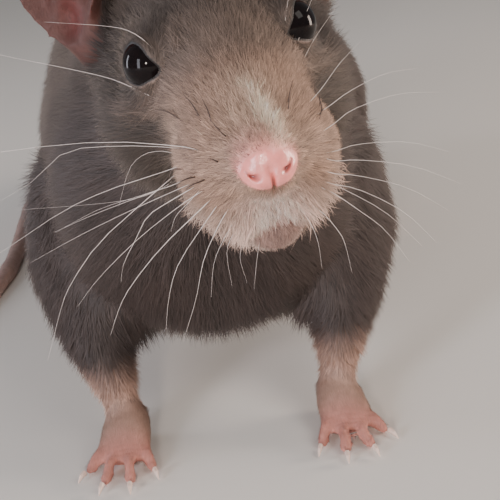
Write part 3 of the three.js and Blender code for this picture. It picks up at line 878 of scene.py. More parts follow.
def add_piece(name, places, triangles, material, slot, values=None, bake_map=None):
    """A piece from places in mm, with named values and a map for baking, one row for each place."""
    mesh = mesh_from(name, places, triangles)
    for title, numbers in (values or {}).items():
        add_attribute(mesh, title, numbers)
    if bake_map is not None:
        layer = mesh.uv_layers.new(name="OFBake")
        layer.data.foreach_set("uv", bake_map[triangles.ravel()].astype(np.float32).ravel())
    mesh.materials.append(material)
    mesh.polygons.foreach_set("use_smooth", np.ones(len(mesh.polygons), bool))
    piece = link(bpy.data.objects.new(name, mesh))
    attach(piece, "root")
    return piece


print("the skin's box in mm:", np.ptp(skin_places, axis=0).round(1))

# %% Make the skin piece
tail_share = share_in(shares, "tail")
bareness = pad(to_head(skin_places)) + 0.2 * share_in(shares, "ear") + 0.3 * tail_share + 0.35 * lid
lidded = mix(skin_colour, linear("#14100f"), 0.97 * lid)
skin = add_piece("skin", skin_places, skin_triangles, skin_finish, "face_coat", {
    "marking": mix(lidded, linear("#a08a80"), 0.6 * lid_line),
    "bare": np.clip(bareness, 0, 1),
    # painted shade in the holes
    "hollow_shade": np.clip(hole_shade, 0, 1),
    "ring": ring_count,
    "ringed": tail_share + 0.7 * toes(skin_places, shares),
})
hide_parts(*FLESH)
print("skin piece:", len(skin.data.polygons), "faces")

# %% [markdown]
# ## Eyes
# A rat's eye is a wet black ball: the dark iris almost fills it and the cornea bulges a little over it.
# A glass shell over an iris could be modelled, but on a black eye only the gloss is seen. So each eye is
# one smooth ball with a slight bulge, near-black and polished, with the cornea's index of refraction.

# %% Make the material of the eyes
IRIS_GRAIN = 0.5  # mm
eye_finish, tree = new_material("wet_black_eye")
place = add_node(tree, "ShaderNodeTexCoord").outputs["Object"]
veins = add_node(tree, "ShaderNodeTexNoise", {"Vector": place, "Scale": 1 / (IRIS_GRAIN * MM)})
iris = add_node(
    tree, "ShaderNodeMix",
    {0: veins.outputs["Fac"], 6: paint("#08080a"), 7: paint("#1a1212")}, data_type="RGBA",
)
eye_shader = add_node(
    tree, "ShaderNodeBsdfPrincipled",
    {"Base Color": iris.outputs[2], "Roughness": 0.04, "IOR": 1.376, "Specular IOR Level": 0.22},
)
add_node(tree, "ShaderNodeOutputMaterial", {"Surface": eye_shader.outputs[0]})
print("eye material with", len(tree.nodes), "nodes")

# %% Make the eyes
CORNEA_BULGE = 0.22
EYE_RINGS = 40
EYE_SECTORS = 56


def closed_rows(places, around):
    """Triangles, facing out, of a closed body: a first corner, rows of corners round it and a last one."""
    last = len(places) - 1
    faces = []
    for k in range(around):
        n = (k + 1) % around
        faces += [(0, 1 + k, 1 + n), (last, last - around + n, last - around + k)]
        for row in range(1, last - around, around):
            a, b = row + k, row + n
            faces += [(a, a + around, b + around), (a, b + around, b)]
    faces = np.array(faces)
    first, second, third = (places[faces[:, k]] - places.mean(0) for k in range(3))
    volume = (first * np.cross(second, third)).sum()
    return faces if volume > 0 else faces[:, ::-1]


tilt = np.linspace(0, math.pi, EYE_RINGS + 1)[1:-1, None]
turn = np.arange(EYE_SECTORS) * 2 * math.pi / EYE_SECTORS
rows = np.broadcast_arrays(np.sin(tilt) * np.cos(turn), np.sin(tilt) * np.sin(turn), np.cos(tilt))
directions = np.vstack([[0, 0, 1], np.stack(rows, 2).reshape(-1, 3), [0, 0, -1]])
radius = EYE_RADIUS + CORNEA_BULGE * rise(directions[:, [2]], 0.45, 1)
for name, side in SIDES.items():
    outward, forward, upward = eye_axes(side)
    places = from_head(EYE_PLACE * (side, 1, 1) + directions * radius @ np.array([forward, upward, outward]))
    eye = add_piece("eyeball_" + name, places, closed_rows(places, EYE_SECTORS), eye_finish, "eyes")
    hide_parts("eye_" + name)
print("eyes made, each", 2 * EYE_RADIUS, "mm across")

# %% [markdown]
# ## How the coat lies
# Hair on a rat streams from the nose over the head and back, and on from head to tail, down the legs and
# along the toes. At every root a direction is needed that lies in the skin. Combing by hand would take
# days, so each part gets one rule, and the rules fade into each other with the parts.

# %% The lie of the coat
WAY_DOWN_LIMB = {
    "foreleg": (0, 0.25, -1.0), "hindleg": (0, 0.75, -0.7),
    "forepaw": (0, -1.0, -0.15), "hindfoot": (0, -1.0, -0.1),
}
HAIR_SOURCE = NOSE_TIP + (0, 1.5, 0.5)  # the hair of the head streams away from here
LIDS_PART_HAIR = 2.4  # how strongly the hair turns away from the eyes


def laid_in(directions, normals):
    """Directions without what leaves the skin in them."""
    return directions - (directions * normals).sum(1)[:, None] * normals


def head_stream(head):
    """The way of the hair on the head, in the head's frame: back from the nose and off the eyes."""
    y, z = head[:, 1], head[:, 2]
    down_cheek = 0.9 * rise(y, -6, 8) * rise(z, 0, -8)
    stream = unit(head - HAIR_SOURCE)
    stream = unit(stream + np.outer(down_cheek, (0, 0.4, -0.6)) + np.outer(rise(y, -5, 8), (0, 0.8, 0)))
    stream = unit(stream + np.outer(rise(z, -12, -17), (0, 0.1, -0.8)))
    for side in SIDES.values():
        off = head - EYE_PLACE * (side, 1, 1)
        near = rise(np.linalg.norm(off, axis=1), 6.5, 4)
        stream = unit(stream + unit(off) * (LIDS_PART_HAIR * near)[:, None])
    return stream


def lie(places, normals, parts):
    """The direction in which the hair points from each root."""
    side = np.sign(places[:, 0] - MIDDLE_X)
    flow = {"head": head_stream(to_head(places)) @ head_turn.T}
    flow["jaw"] = flow["nose"] = flow["eye"] = flow["head"]
    flow["body"] = np.stack([0.1 * side, np.ones(len(places)), np.full(len(places), -0.55)], 1)
    flow.update(WAY_DOWN_LIMB)
    flow["ear"] = head_turn @ (0, 0.1, 0.9)
    flow["tail"] = np.zeros((len(places), 3))
    on_tail = share_in(parts, "tail") > ON_TAIL
    along = line_gap(places[on_tail], tail_line)[1]
    flow["tail"][on_tail] = np.gradient(tail_line, axis=0)[(along * (len(tail_line) - 1)).astype(int)]
    total = sum(unit(flow[part]) * parts[:, [number]] for number, part in enumerate(PARTS))
    return unit(laid_in(unit(total), normals))


print("the limbs' hair runs down along", WAY_DOWN_LIMB)

# %% The length, width and lift of the coat
LENGTHS = {
    "head": 4.4, "nose": 0.9, "jaw": 2.2, "body": 8.5, "foreleg": 5.0, "forepaw": 1.1,
    "hindleg": 6.5, "hindfoot": 1.1, "ear": 0.8, "tail": 1.1, "eye": 0.8,
}
WIDTHS = {
    "head": 0.15, "nose": 0.07, "jaw": 0.12, "body": 0.24, "foreleg": 0.2, "forepaw": 0.09,
    "hindleg": 0.22, "hindfoot": 0.09, "ear": 0.06, "tail": 0.08, "eye": 0.08,
}
LIFTS = {
    "head": 24, "nose": 14, "jaw": 24, "body": 12, "foreleg": 14, "forepaw": 13,
    "hindleg": 13, "hindfoot": 13, "ear": 16, "tail": 20, "eye": 12,
}
EAR_BASE_LONGER = 2.2  # mm


def lengths_at(places, parts):
    """The length of the hair at each place, shorter towards the nose, the eyes, the lips and the feet."""
    head = to_head(places)
    y, z = head[:, 1], head[:, 2]
    face = share_in(parts, "head", "jaw", "nose")
    cheek = face * rise(y, -6, 3) * rise(z, 0, -6)
    rump = rise(places[:, 1], 20, 55) * share_in(parts, "body")
    sock = rise(places[:, 2], 22, 7) * share_in(parts, "foreleg")
    length = part_mean(LENGTHS, parts) + EAR_BASE_LONGER * ear_base(head) * share_in(parts, "ear")
    length *= 1 - face * (0.5 * rise(y, 3, -12) + 0.14 * rise(y, -12, -20))
    length *= 1 - 0.65 * face * rise(eye_gap(head), 7, 4)
    length *= 1 - 0.45 * rise(distance(head, NOSE_TIP), 7.5, 4)
    return length * (1 + 0.2 * rump) * (1 + 0.6 * cheek) * (1 - 0.5 * sock)


def widths_at(places, parts):
    """The width of the hair at each place, finer towards the nose and on the chest."""
    muzzle = share_in(parts, "head", "jaw") * rise(to_head(places)[:, 1], 4, -10)
    chest = share_in(parts, "body") * rise(places[:, 1], -15, -40)
    return part_mean(WIDTHS, parts) * (1 - 0.36 * muzzle) * (1 - 0.25 * chest)


print("lengths of the coat in mm:", LENGTHS)

# %% [markdown]
# ## Tufts as closed meshes
# Particle hair would be easy, but it doesn't survive the export. Each tuft here is a closed spike with three
# sides, sunk into the skin at its root: with one bend where it stands out far, and straight elsewhere.
# Thousands are written into one mesh at once with arrays. Each keeps its root's place on an unwrap of the
# skin as a tiny patch, so that colours can be baked, and carries its own colour, darker at the root. Spikes
# shaded by their own faces look like bristles. So most of each normal is borrowed from the skin below, and
# the coat takes the light like plush.

# %% Sow the roots
THINNING = 1.0
skin_normals = vertex_normals(skin_places, skin_triangles)
corner_a, corner_b, corner_c = (skin_places[skin_triangles[:, k]] for k in range(3))
face_area = np.linalg.norm(np.cross(corner_b - corner_a, corner_c - corner_a), axis=1) / 2
face_middle = (corner_a + corner_b + corner_c) / 3
face_parts = shares[skin_triangles].mean(1)


def sow(density, random):
    """Roots on the skin: a face and a place in it for each. density is tufts to the square mm, by face."""
    total = np.cumsum(density * face_area * THINNING)
    steps = np.arange(int(total[-1])) + random.random(int(total[-1]))
    face = np.minimum(np.searchsorted(total, steps), len(total) - 1)
    u, v = random.random((2, len(face)))
    over = u + v > 1
    u[over], v[over] = 1 - u[over], 1 - v[over]
    return face, np.stack([1 - u - v, u, v], 1)


def gather(roots, random, in_clump):
    """Draws clump centres among the roots, and gives the centres and each root's nearest one."""
    centres = roots[random.permutation(len(roots))[:max(1, len(roots) // in_clump)]]
    tree = KDTree(len(centres))
    for number, centre in enumerate(centres.tolist()):
        tree.insert(centre, number)
    tree.balance()
    return centres, np.array([tree.find(place)[1] for place in roots.tolist()])


print("skin area", round(face_area.sum()), "square mm")

# %% The shape and the colour of a tuft
BENT_TUFT = np.array([
    (0, 2, 1), (0, 1, 4), (0, 4, 3), (1, 2, 5), (1, 5, 4), (2, 0, 3), (2, 3, 5),
    (3, 4, 6), (4, 5, 6), (5, 3, 6),
])
STRAIGHT_TUFT = np.array([(0, 2, 1), (0, 1, 3), (1, 2, 3), (2, 0, 3)])
LENGTH_RANGE = (0.7, 1.15)  # of what the tables say
WIDTH_RANGE = (0.7, 1.25)
LIFT_RANGE = (0.6, 1.4)
ROOT_SUNK = 0.25  # mm at most
PLUSH = 0.7  # the skin's share in the normals of the tufts
ROOT_TONE = 0.78  # of a straight tuft, where its tip has TIP_TONE
BENT_ROOT_TONE = 0.7
TIP_TONE = 1.12
TUFT_VARIES = 0.12
CLUMP_VARIES = 0.07
DARK_TUFTS = 0.08  # the share of tufts that are darker than the rest
DARK_TUFT_LOSS = 0.35
LIGHTEST = 0.95


def tuft_corners(root, normal, flow, length, half, lift, pull, straight):
    """The corners of each tuft, from its base to its tip, and the way in which each corner faces."""
    across = np.cross(flow, normal)
    rising = flow * np.cos(lift) + normal * np.sin(lift)
    laid = flow * np.cos(lift * 0.45) + normal * np.sin(lift * 0.45)
    base = root - rising * np.minimum(ROOT_SUNK, length * 0.12)
    middle = root + rising * (length * 0.5) + pull * 0.45
    tip = root + (rising + laid) * (length * 0.5) + pull
    ring = [across, -across, 0.7 * normal]
    rows = [base + half * side for side in ring]
    facing = [unit((1 - PLUSH) * side + PLUSH * normal) for side in ring]
    if not straight:
        rows += [middle + 0.8 * half * side for side in ring]
        facing *= 2
    facing.append(unit(normal + 0.3 * laid))
    places = np.stack(rows + [tip], 1)
    places[:, :, 2] = np.maximum(places[:, :, 2], FLOOR_GAP)
    return places, np.stack(facing, 1)


def tuft_colours(root, parts, own, clumps, random, contrast, straight):
    """A colour for each corner of each tuft: darker at the root, and varied by clump and by tuft."""
    varied = random.normal(0, TUFT_VARIES, len(root)) + random.normal(0, CLUMP_VARIES, clumps)[own]
    strand = np.exp(contrast * varied)
    strand *= 1 - DARK_TUFT_LOSS * contrast * (random.random(len(root)) < DARK_TUFTS)
    fade = [ROOT_TONE] * 3 if straight else [BENT_ROOT_TONE] * 3 + [1.0] * 3
    fade = 1 + (np.array(fade + [TIP_TONE]) - 1) * contrast
    return np.clip(markings(root, parts)[:, None] * np.outer(strand, fade)[:, :, None], 0, LIGHTEST)


print("triangles of a straight and of a bent tuft:", len(STRAIGHT_TUFT), len(BENT_TUFT))

# %% Plant tufts on the skin
MOST_TRIANGLES = 195000  # in one piece of the coat
SPOT_ON_MAP = 0.0015  # half the size of a tuft's patch on its unwrap
# the corners of a bent tuft's patch, of which a straight tuft takes the last four
SPOT_SHAPE = np.array([(-1, -1), (1, -1), (0, -1), (-1, 0), (1, 0), (0, 0), (0, 1)])


def tufts(name, density, seed, unwrap, slot, straight=True, in_clump=12, tidy=0.35, spread=0.16,
          contrast=1.0, longer=1.0, raised=0):
    """Plants a coat over the faces where density is above 0, in as many pieces as its triangles need.

    tidy draws the tips of a clump together, and spread turns them aside. longer stretches the tufts and
    raised lifts them by some degrees more than the tables say.
    """
    random = np.random.default_rng(seed)
    face, weight = sow(density, random)
    corners = skin_triangles[face]
    root, normal, parts = (
        (values[corners] * weight[:, :, None]).sum(1) for values in (skin_places, skin_normals, shares)
    )
    normal = unit(normal)
    count = len(root)
    length = longer * lengths_at(root, parts) * random.uniform(*LENGTH_RANGE, count)
    half = widths_at(root, parts) * random.uniform(*WIDTH_RANGE, count) / 2
    lift = np.radians(part_mean(LIFTS, parts) + raised) * random.uniform(*LIFT_RANGE, count)
    centres, own = gather(root, random, in_clump)
    sway = random.normal(0, spread, count) + random.normal(0, spread * 0.9, len(centres))[own]
    flow = lie(root, normal, parts)
    flow = flow * np.cos(sway)[:, None] + np.cross(flow, normal) * np.sin(sway)[:, None]
    pull = laid_in(centres[own] - root, normal) * tidy
    columns = (values[:, None] for values in (length, half, lift))
    places, facing = tuft_corners(root, normal, flow, *columns, pull, straight)
    colours = tuft_colours(root, parts, own, len(centres), random, contrast, straight)
    pattern = STRAIGHT_TUFT if straight else BENT_TUFT
    each = places.shape[1]
    spot = unwrap(root)
    patch = spot[:, None, :] + SPOT_SHAPE[-each:] * SPOT_ON_MAP
    pieces = max(1, math.ceil(count * len(pattern) / MOST_TRIANGLES))
    order = np.argsort(spot[:, 0], kind="stable")
    for number, chosen in enumerate(np.array_split(order, pieces), 1):
        title = name if pieces == 1 else "%s_%d" % (name, number)
        triangles = (pattern + each * np.arange(len(chosen))[:, None, None]).reshape(-1, 3)
        piece = add_piece(
            title, places[chosen].reshape(-1, 3), triangles, coat_finish, slot,
            {"tuft_colour": colours[chosen].reshape(-1, 3)}, patch[chosen].reshape(-1, 2),
        )
        piece.data.normals_split_custom_set_from_vertices(facing[chosen].reshape(-1, 3))
    print(name, "has", count, "tufts in", pieces, "pieces")


# %% [markdown]
# ## The finish of the coat
# Hair is a clear fibre with pigment inside: matt from the side, with a soft sheen along its length. A hair
# shader would give that, but only a plain one survives the export, so the sheen is set there.

# %% Make the coat's material
TONE_PATCH = 3.5  # mm, the size of a patch of the uneven tone
coat_finish, tree = new_material("soft_fur")
tuft_colour = add_node(tree, "ShaderNodeAttribute", attribute_name="tuft_colour")
place = add_node(tree, "ShaderNodeTexCoord").outputs["Object"]
drift = add_node(tree, "ShaderNodeTexNoise", {"Vector": place, "Scale": 1 / (TONE_PATCH * MM)})
shift = add_node(
    tree, "ShaderNodeMapRange",
    {"Value": drift.outputs["Fac"], "From Min": 0.3, "From Max": 0.7, "To Min": 0.88, "To Max": 1.1},
)
drifted = add_node(
    tree, "ShaderNodeVectorMath",
    {0: tuft_colour.outputs["Color"], "Scale": shift.outputs[0]}, operation="SCALE",
)
fur_shader = add_node(
    tree, "ShaderNodeBsdfPrincipled",
    {
        "Base Color": drifted.outputs["Vector"], "Roughness": 0.6, "Specular IOR Level": 0.35,
        "Sheen Weight": 0.18, "Sheen Roughness": 0.45, "Sheen Tint": paint("#e8d8cc"),
    },
)
add_node(tree, "ShaderNodeOutputMaterial", {"Surface": fur_shader.outputs[0]})
print("coat material with", len(tree.nodes), "nodes")

# %% [markdown]
# ## Unwraps
# The export bakes the coat's colours onto a map, so every tuft needs a spot of its own on one. Unwrapping
# the skin by seams would do, but each part is close to a tube. So its map is the turn round the part's own
# line and the way along it, and the parts of a pair take half a map each.

# %% Unwraps of the skin's parts
MAP_MARGIN = 0.02
MAP_SIZE = 0.96
HALF_MAP = 0.45  # the width of one of the halves
HALF_STEP = 0.49  # from the start of one half to the next


def round_map(line_from, line_to, left=MAP_MARGIN, width=MAP_SIZE):
    """An unwrap round a line: the turn round it runs across the map, and the way along it runs up."""
    line_from = np.asarray(line_from, float)
    whole = np.asarray(line_to, float) - line_from
    axis = unit(whole)
    aside = unit(np.cross(axis, (0.13, 0.21, 1)))
    upright = np.cross(axis, aside)

    def unwrap(places):
        offset = places - line_from
        turn = np.arctan2(offset @ upright, offset @ aside) / (2 * math.pi) + 0.5
        along = np.clip(offset @ axis / np.linalg.norm(whole), 0, 1)
        return np.stack([turn, along], 1) * (width, MAP_SIZE) + (left, MAP_MARGIN)

    return unwrap


def limb_map(start, end):
    """The unwrap of a pair of limbs, each round the line from start to end, on its own half of the map."""
    halves = []
    for number, side in enumerate(SIDES.values()):
        line_from, line_to = np.array([start, end]) * (side, 1, 1) + (MIDDLE_X, 0, 0)
        halves.append(round_map(line_from, line_to, MAP_MARGIN + HALF_STEP * number, HALF_MAP))
    right, left = halves

    def unwrap(places):
        return np.where(places[:, [0]] < MIDDLE_X, right(places), left(places))

    return unwrap


head_map = round_map(from_head((0, -27, -9)), from_head((0, 34, -6)))
trunk_map = round_map((MIDDLE_X, -68, 30), (MIDDLE_X, 76, 22))
foreleg_map = limb_map((21, -30, 46), (17, -64, 0))
forepaw_map = limb_map((17, -54, 3), (17, -76, 2))
hindleg_map = limb_map((25, 25, 50), (28, 50, 0))
hindfoot_map = limb_map((28, 55, 3), (35, 6, 2))
ear_map = limb_map((20, -60, 45), (30, -60, 100))
print("the tip of the nose is at", head_map(from_head([NOSE_TIP])).round(2), "on the head's map")

# %% [markdown]
# ## Planting
# The coat is densest where it is finest: on the muzzle there are about eight times as many tufts to the
# square millimetre as on the back. Holes, lids and the pad of the nose stay bare, and so do the soles.
# A fringe of longer, looser tufts under the whiskers gives the jowls their soft edge.

# %% Plant the coat
def on_part(*names, low=0.4, high=0.5):
    """How much each face is on some parts, with a narrow border."""
    return rise(share_in(face_parts, *names), low, high)


face_local = to_head(face_middle)
face_x, face_y, face_z = face_local.T
floor_gap = face_middle[:, 2]
lip_gap = distance(face_local, LOWER_LIP)
furry = (1 - rise(pad(face_local), 0.3, 0.98)) * (1 - rise(hole_shade[skin_triangles].mean(1), 0.2, 0.6))
furry *= (lid[skin_triangles].mean(1) < 0.75) & (eye_gap(face_local) >= EYE_RADIUS - 0.1)
furry *= 1 - 0.5 * rise(lip_gap, 4.2, 2.4)
furry *= on_part("head", "jaw", "eye", "nose", low=0.45, high=0.55)
low_muzzle = rise(face_z, -12.5, -16) * rise(abs(face_x), 1.5, 4) * rise(face_y, -2, -8)
trunk = on_part("body", low=0.45) * (floor_gap > 1.0)
chest = rise(face_middle[:, 1], -15, -40)
off_toes = (floor_gap > 0.8) * (1 - 0.75 * toes(face_middle, face_parts))

tufts("coat_head", furry * (24 + 22 * rise(face_y, 0, -9)), 11, head_map, "face_coat",
      in_clump=10, tidy=0.38, spread=0.2, contrast=1.85)
tufts("fringe_muzzle", furry * low_muzzle * 9 * rise(lip_gap, 3.6, 5.2), 15, head_map, "face_coat",
      straight=False, longer=2.2, raised=11, spread=0.25)
tufts("coat_trunk", trunk * (5.5 + 8 * chest), 21, trunk_map, "coat", in_clump=20, contrast=1.25)
tufts("coat_foreleg", on_part("foreleg") * 14, 31, foreleg_map, "coat", in_clump=20, contrast=1.25)
tufts("coat_hindleg", on_part("hindleg") * 7, 41, hindleg_map, "coat", in_clump=20, contrast=1.25)
tufts("coat_forepaw", on_part("forepaw") * off_toes * 34, 51, forepaw_map, "foot_coat",
      tidy=0.1, contrast=0.5)
tufts("coat_hindfoot", on_part("hindfoot") * off_toes * 20, 61, hindfoot_map, "foot_coat",
      tidy=0.1, contrast=0.5)
tufts("down_ear", on_part("ear") * (7 + 16 * ear_base(face_local)), 71, ear_map, "ear_skin",
      tidy=0.1, contrast=0.6)
tufts("bristle_tail", on_part("tail") * (floor_gap > 0.5) * 3, 81, trunk_map, "tail_skin",
      tidy=0, contrast=0.6)

# %% [markdown]
# ## Whiskers
# A rat's whiskers are stiff, tapered hairs in rows on each side of the muzzle, and a few grow over the eyes,
# on the cheeks and under the chin. They show clearly in the photograph, so each one is placed by the points
# of the picture that it passes. Its root is where the sight line through the first point meets the skin.
# From there it draws back from the camera as it goes, which is its sweep, so that it also stands right from
# the side. Short dark ones lie on the fur. Each is a closed tube with five sides.

# %% The points of the whiskers
# for each whisker: its width in mm, its sweep, how much of it is dark at the root, and its points in the
# pixels of a picture 500 wide
WHISKERS = [
    (0.2, 0.4, 0.0, [(178, 172), (146, 200), (99, 243), (71, 284), (61, 309), (48, 360)]),
    (0.15, 0.4, 0.3, [(194, 175), (173, 185), (150, 193), (95, 214), (55, 232)]),
    (0.14, 0.5, 0.1, [(180, 166), (157, 174), (106, 191), (60, 213), (0, 253), (-40, 275)]),
    (0.17, 0.2, 0.1, [(196, 186), (172, 200), (148, 216), (136, 239), (124, 263), (121, 281)]),
    (0.14, 0.3, 0.1, [(204, 190), (181, 205), (138, 239), (99, 278), (78, 306)]),
    (0.19, 0.3, 0.0, [(212, 198), (200, 210), (161, 248), (131, 286), (119, 309), (111, 334)]),
    (0.16, 0.2, 0.0, [(218, 204), (207, 220), (179, 263), (169, 297), (166, 331)]),
    (0.16, 0.1, 0.0, [(229, 208), (220, 223), (204, 259), (196, 299), (183, 342)]),
    (0.13, 0.1, 0.0, [(234, 222), (224, 239), (214, 263), (211, 297)]),
    (0.13, 0.1, 0.0, [(200, 190), (188, 203), (176, 216), (171, 231)]),
    (0.18, 0.5, 0.3, [(217, 161), (199, 151), (176, 146), (100, 142), (0, 152), (-45, 165)]),
    (0.13, 0.2, 0.1, [(176, 154), (161, 151), (143, 155), (129, 170), (119, 206)]),
    (0.13, 0.5, 0.3, [(206, 153), (178, 148), (120, 146), (66, 152), (33, 181), (0, 201)]),
    (0.13, 0.4, 0.1, [(182, 180), (149, 193), (100, 209), (58, 231)]),
    (0.13, 0.4, 0.1, [(190, 184), (165, 195), (119, 216), (75, 238), (30, 263)]),
    (0.12, 0.5, 0.1, [(180, 176), (150, 194), (106, 203), (17, 210)]),
    (0.11, 0.1, 0.0, [(238, 226), (227, 250), (232, 286)]),
    (0.11, 0.1, 0.0, [(248, 236), (240, 256), (247, 283)]),
    (0.11, 0.1, 0.0, [(260, 240), (257, 259), (254, 289)]),
    (0.17, 0.3, 0.0, [(157, 55), (146, 42), (129, 31), (105, 26), (45, 22)]),
    (0.15, 0.4, 0.0, [(150, 96), (129, 86), (105, 77), (60, 67), (0, 55), (-30, 48)]),
    (0.14, 0.2, 0.2, [(285, 22), (287, 8), (290, -14)]),
    (0.14, 0.2, 0.2, [(298, 42), (303, 22), (314, -6)]),
    (0.14, 0.3, 0.2, [(303, 60), (315, 38), (338, 4)]),
    (0.15, 0.5, 0.0, [(324, 158), (337, 161), (360, 160), (412, 166), (462, 184)]),
    (0.14, 0.5, 0.0, [(322, 170), (337, 174), (360, 176), (408, 188), (448, 210)]),
    (0.15, 0.4, 0.0, [(320, 180), (332, 184), (360, 190), (404, 212), (436, 242)]),
    (0.15, 0.4, 0.0, [(318, 186), (335, 194), (360, 211), (385, 230), (410, 262)]),
    (0.13, 0.5, 0.0, [(326, 153), (339, 150), (360, 144), (408, 142), (450, 152)]),
    (0.14, 0.5, 0.1, [(320, 133), (335, 123), (354, 109), (398, 94), (440, 92)]),
    (0.13, 0.5, 0.1, [(316, 115), (332, 104), (350, 91), (384, 74), (418, 68)]),
    (0.13, 0.4, 0.2, [(308, 104), (322, 88), (340, 63), (362, 40)]),
    (0.14, 0.3, 0.0, [(308, 203), (324, 214), (339, 232), (345, 244), (352, 272)]),
    (0.13, 0.4, 0.0, [(322, 181), (337, 186), (385, 212), (422, 246)]),
    (0.12, 0.2, 0.0, [(300, 208), (310, 222), (318, 242), (322, 268)]),
]
# short dark hairs that lie on the fur of the muzzle, and the dark flecks of other roots
LYING = [
    [(185, 122), (174, 111), (161, 104)],
    [(203, 122), (198, 107), (188, 91)],
    [(213, 123), (212, 113), (210, 103)],
    [(317, 121), (316, 111), (307, 100)],
    [(287, 111), (286, 101), (286, 90)],
    [(176, 148), (168, 145), (161, 144)],
    [(336, 138), (331, 141), (326, 143)],
    [(186, 169), (180, 169), (173, 170)],
    [(221, 131), (219, 129), (218, 126)],
    [(197, 176), (187, 180), (176, 184)],
    [(321, 110), (317, 115), (313, 119)],
    [(318, 110), (314, 104), (309, 98)],
    [(227, 137), (225, 135), (224, 132)],
    [(219, 162), (217, 160), (215, 159)],
    [(206, 179), (194, 185), (182, 192)],
]
print(len(WHISKERS), "whiskers and", len(LYING), "short hairs")

# %% The routes of the whiskers
WHISKER_STEPS = 14
ROOT_UNDER_SKIN = 0.5  # mm
FUR_LIFT = 1.6  # how far the tip of a short hair stands off the skin
LYING_WIDTH = 0.27
DARK_ALL_ALONG = 1.2  # more than 1, so that a short hair has no pale tip
skin_tree = BVHTree.FromPolygons(skin_places.tolist(), skin_triangles.tolist())


def on_skin(across, down):
    """The place on the skin that shows at a point of the picture, and the skin's normal there."""
    place, normal, _, _ = skin_tree.ray_cast(Vector(camera_at), Vector(sight_line(across, down)))
    return np.array(place), np.array(normal)


def whisker_route(points, sweep):
    """A whisker's points in mm, from under the skin to its tip."""
    place, normal = on_skin(*points[0])
    reach = np.linalg.norm(place - camera_at)
    route = [place - ROOT_UNDER_SKIN * normal, place]
    gone = 0
    for before, point in zip(points[:-1], points[1:]):
        gone += math.dist(before, point)
        drawn_back = sweep * gone * reach * SENSOR_WIDTH / FOCAL_LENGTH / PICTURE_WIDTH
        route.append(camera_at + sight_line(*point) * (reach + drawn_back))
    return smooth_line(route, WHISKER_STEPS)


def lying_route(points):
    """A short hair's points in mm, from the skin to a tip on top of the fur."""
    found = [on_skin(*point) for point in points]
    lifts = np.linspace(0.3, FUR_LIFT, len(found))
    return smooth_line([place + lift * normal for (place, normal), lift in zip(found, lifts)], WHISKER_STEPS)


routes = [(whisker_route(points, sweep), width, dark) for width, sweep, dark, points in WHISKERS]
routes += [(lying_route(points), LYING_WIDTH, DARK_ALL_ALONG) for points in LYING]
spans = [distance(route[-1:], route[0])[0] for route, _, _ in routes]
print("the longest whisker reaches", round(max(spans), 1), "mm from its root")

# %% Make the whiskers
WHISKER_SIDES = 5
WHISKER_FINENESS = 0.8
WHISKER_TAPER = 0.85
PALE_WHISKER = linear("#dcd2cd")
DARK_WHISKER = linear("#4a3a34")


def tube(route, width):
    """Places and triangles of a closed tube that tapers to a point."""
    steps = unit(np.gradient(route, axis=0))
    aside = unit(np.cross(steps, (0.3, 0.2, 0.9)))
    upright = np.cross(steps, aside)
    turn = np.arange(WHISKER_SIDES) * 2 * math.pi / WHISKER_SIDES
    ring = np.cos(turn)[None, :, None] * aside[:, None] + np.sin(turn)[None, :, None] * upright[:, None]
    radius = WHISKER_FINENESS * width / 2 * (1 - WHISKER_TAPER * np.linspace(0, 1, len(route)))
    rows = (route[:, None] + ring * radius[:, None, None]).reshape(-1, 3)
    places = np.vstack([route[0], rows, route[-1] + steps[-1] * width])
    return places, closed_rows(places, WHISKER_SIDES)


along = np.concatenate([[0], np.repeat(np.linspace(0, 1, WHISKER_STEPS), WHISKER_SIDES), [1]])
across = np.concatenate([[0], np.tile(np.linspace(-1, 1, WHISKER_SIDES), WHISKER_STEPS), [0]])
patch = np.stack([across, 2 * along - 1], 1) * SPOT_ON_MAP
add_piece(
    "whiskers", *stacked([tube(route, width) for route, width, _ in routes]), coat_finish, "face_coat",
    {"tuft_colour": np.vstack([
        mix(PALE_WHISKER, DARK_WHISKER, rise(along, dark + 0.12, dark - 0.02)) for _, _, dark in routes
    ])},
    np.vstack([head_map(route[:1]) + patch for route, _, _ in routes]),
)
print(len(routes), "whiskers and short hairs made")

# %% [markdown]
# ## Claws
# The claws keep their CAD solids, because a small horn is already the right shape. They only get their
# finish: clear pale horn, with a faint streak in it.

# %% Finish the claws
HORN_STREAK = 0.7  # mm
horn, tree = new_material("pale_claw_horn")
place = add_node(tree, "ShaderNodeTexCoord").outputs["Object"]
streak = add_node(tree, "ShaderNodeTexNoise", {"Vector": place, "Scale": 1 / (HORN_STREAK * MM)})
horn_tone = add_node(
    tree, "ShaderNodeMix",
    {0: streak.outputs["Fac"], 6: paint("#d8b3a4"), 7: paint("#eadbd0")}, data_type="RGBA",
)
horn_shader = add_node(
    tree, "ShaderNodeBsdfPrincipled", {"Base Color": horn_tone.outputs[2], "Roughness": 0.3, "IOR": 1.54}
)
add_node(tree, "ShaderNodeOutputMaterial", {"Surface": horn_shader.outputs[0]})
claws = [node for name, node in nodes.items() if name.startswith("claw_")]
for claw in claws:
    claw.data.materials.clear()
    claw.data.materials.append(horn)
print(len(claws), "claws finished")

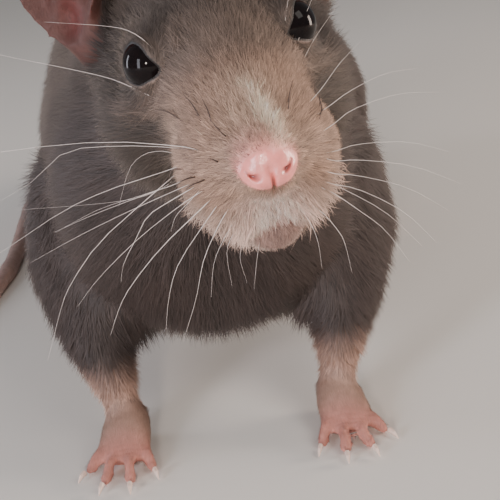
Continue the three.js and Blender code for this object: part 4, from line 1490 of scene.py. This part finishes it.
# %% [markdown]
# ## Floor and light
# The rat stands on a plain pale floor under an even, dim sky. Five soft lights model it. A large key light
# from its upper left and a tall one at its right front, low like a window, do most. A small one in front
# puts a glint on the nose and the eyes. A tall lamp on its left and a narrow one at its right rear draw its
# edges. The floor is matt like plaster, so that it takes soft shadows and shows no reflections.

# %% Make the stage
FLOOR_SIZE = 6.0
SKY_STRENGTH = 0.3
floor_finish, tree = new_material("pale_floor")
floor_shader = add_node(
    tree, "ShaderNodeBsdfPrincipled", {"Base Color": paint("#e6e2dc"), "Roughness": 0.85}
)
add_node(tree, "ShaderNodeOutputMaterial", {"Surface": floor_shader.outputs[0]})
floor_mesh = bpy.data.meshes.new("floor")
ends = (-FLOOR_SIZE / 2, FLOOR_SIZE / 2)
floor_mesh.from_pydata([(x, y, 0) for x in ends for y in ends], [], [(0, 2, 3, 1)])
floor_mesh.materials.append(floor_finish)
link(bpy.data.objects.new("floor", floor_mesh))

sky = bpy.data.worlds.new("soft_sky")
sky.use_nodes = True
sky.node_tree.nodes["Background"].inputs["Color"].default_value = paint("#e8e9ec")
sky.node_tree.nodes["Background"].inputs["Strength"].default_value = SKY_STRENGTH
bpy.context.scene.world = sky

# for each light: where it stands as seen from the head, how far off in metres, its width and height in
# metres, its watts and its tint
LIGHTS = {
    "key": ((0.75, -0.55, 0.85), 0.7, 0.35, 0.35, 1.8, "#fff6ee"),
    "window": ((-0.7, -0.7, 0.09), 0.5, 0.12, 0.42, 2.4, "#f4f4ff"),
    "front": ((-0.12, -0.98, 0.19), 0.5, 0.06, 0.06, 1.3, "#fff0e4"),
    "lamp": ((0.97, 0.15, 0.0), 0.5, 0.12, 0.3, 3.0, "#ffeadb"),
    "rim": ((-0.95, 0.3, 0.05), 0.5, 0.08, 0.35, 1.0, "#f4f4ff"),
}
for name, (direction, away, width, height, watts, tint) in LIGHTS.items():
    data = bpy.data.lights.new(name, "AREA")
    data.shape = "RECTANGLE"
    data.size = width
    data.size_y = height
    data.energy = watts
    data.color = linear(tint)
    light = link(bpy.data.objects.new(name, data))
    toward = Vector(unit(direction).tolist())
    light.location = Vector((head_at * MM).tolist()) + toward * away
    light.rotation_euler = toward.to_track_quat("Z", "Y").to_euler()
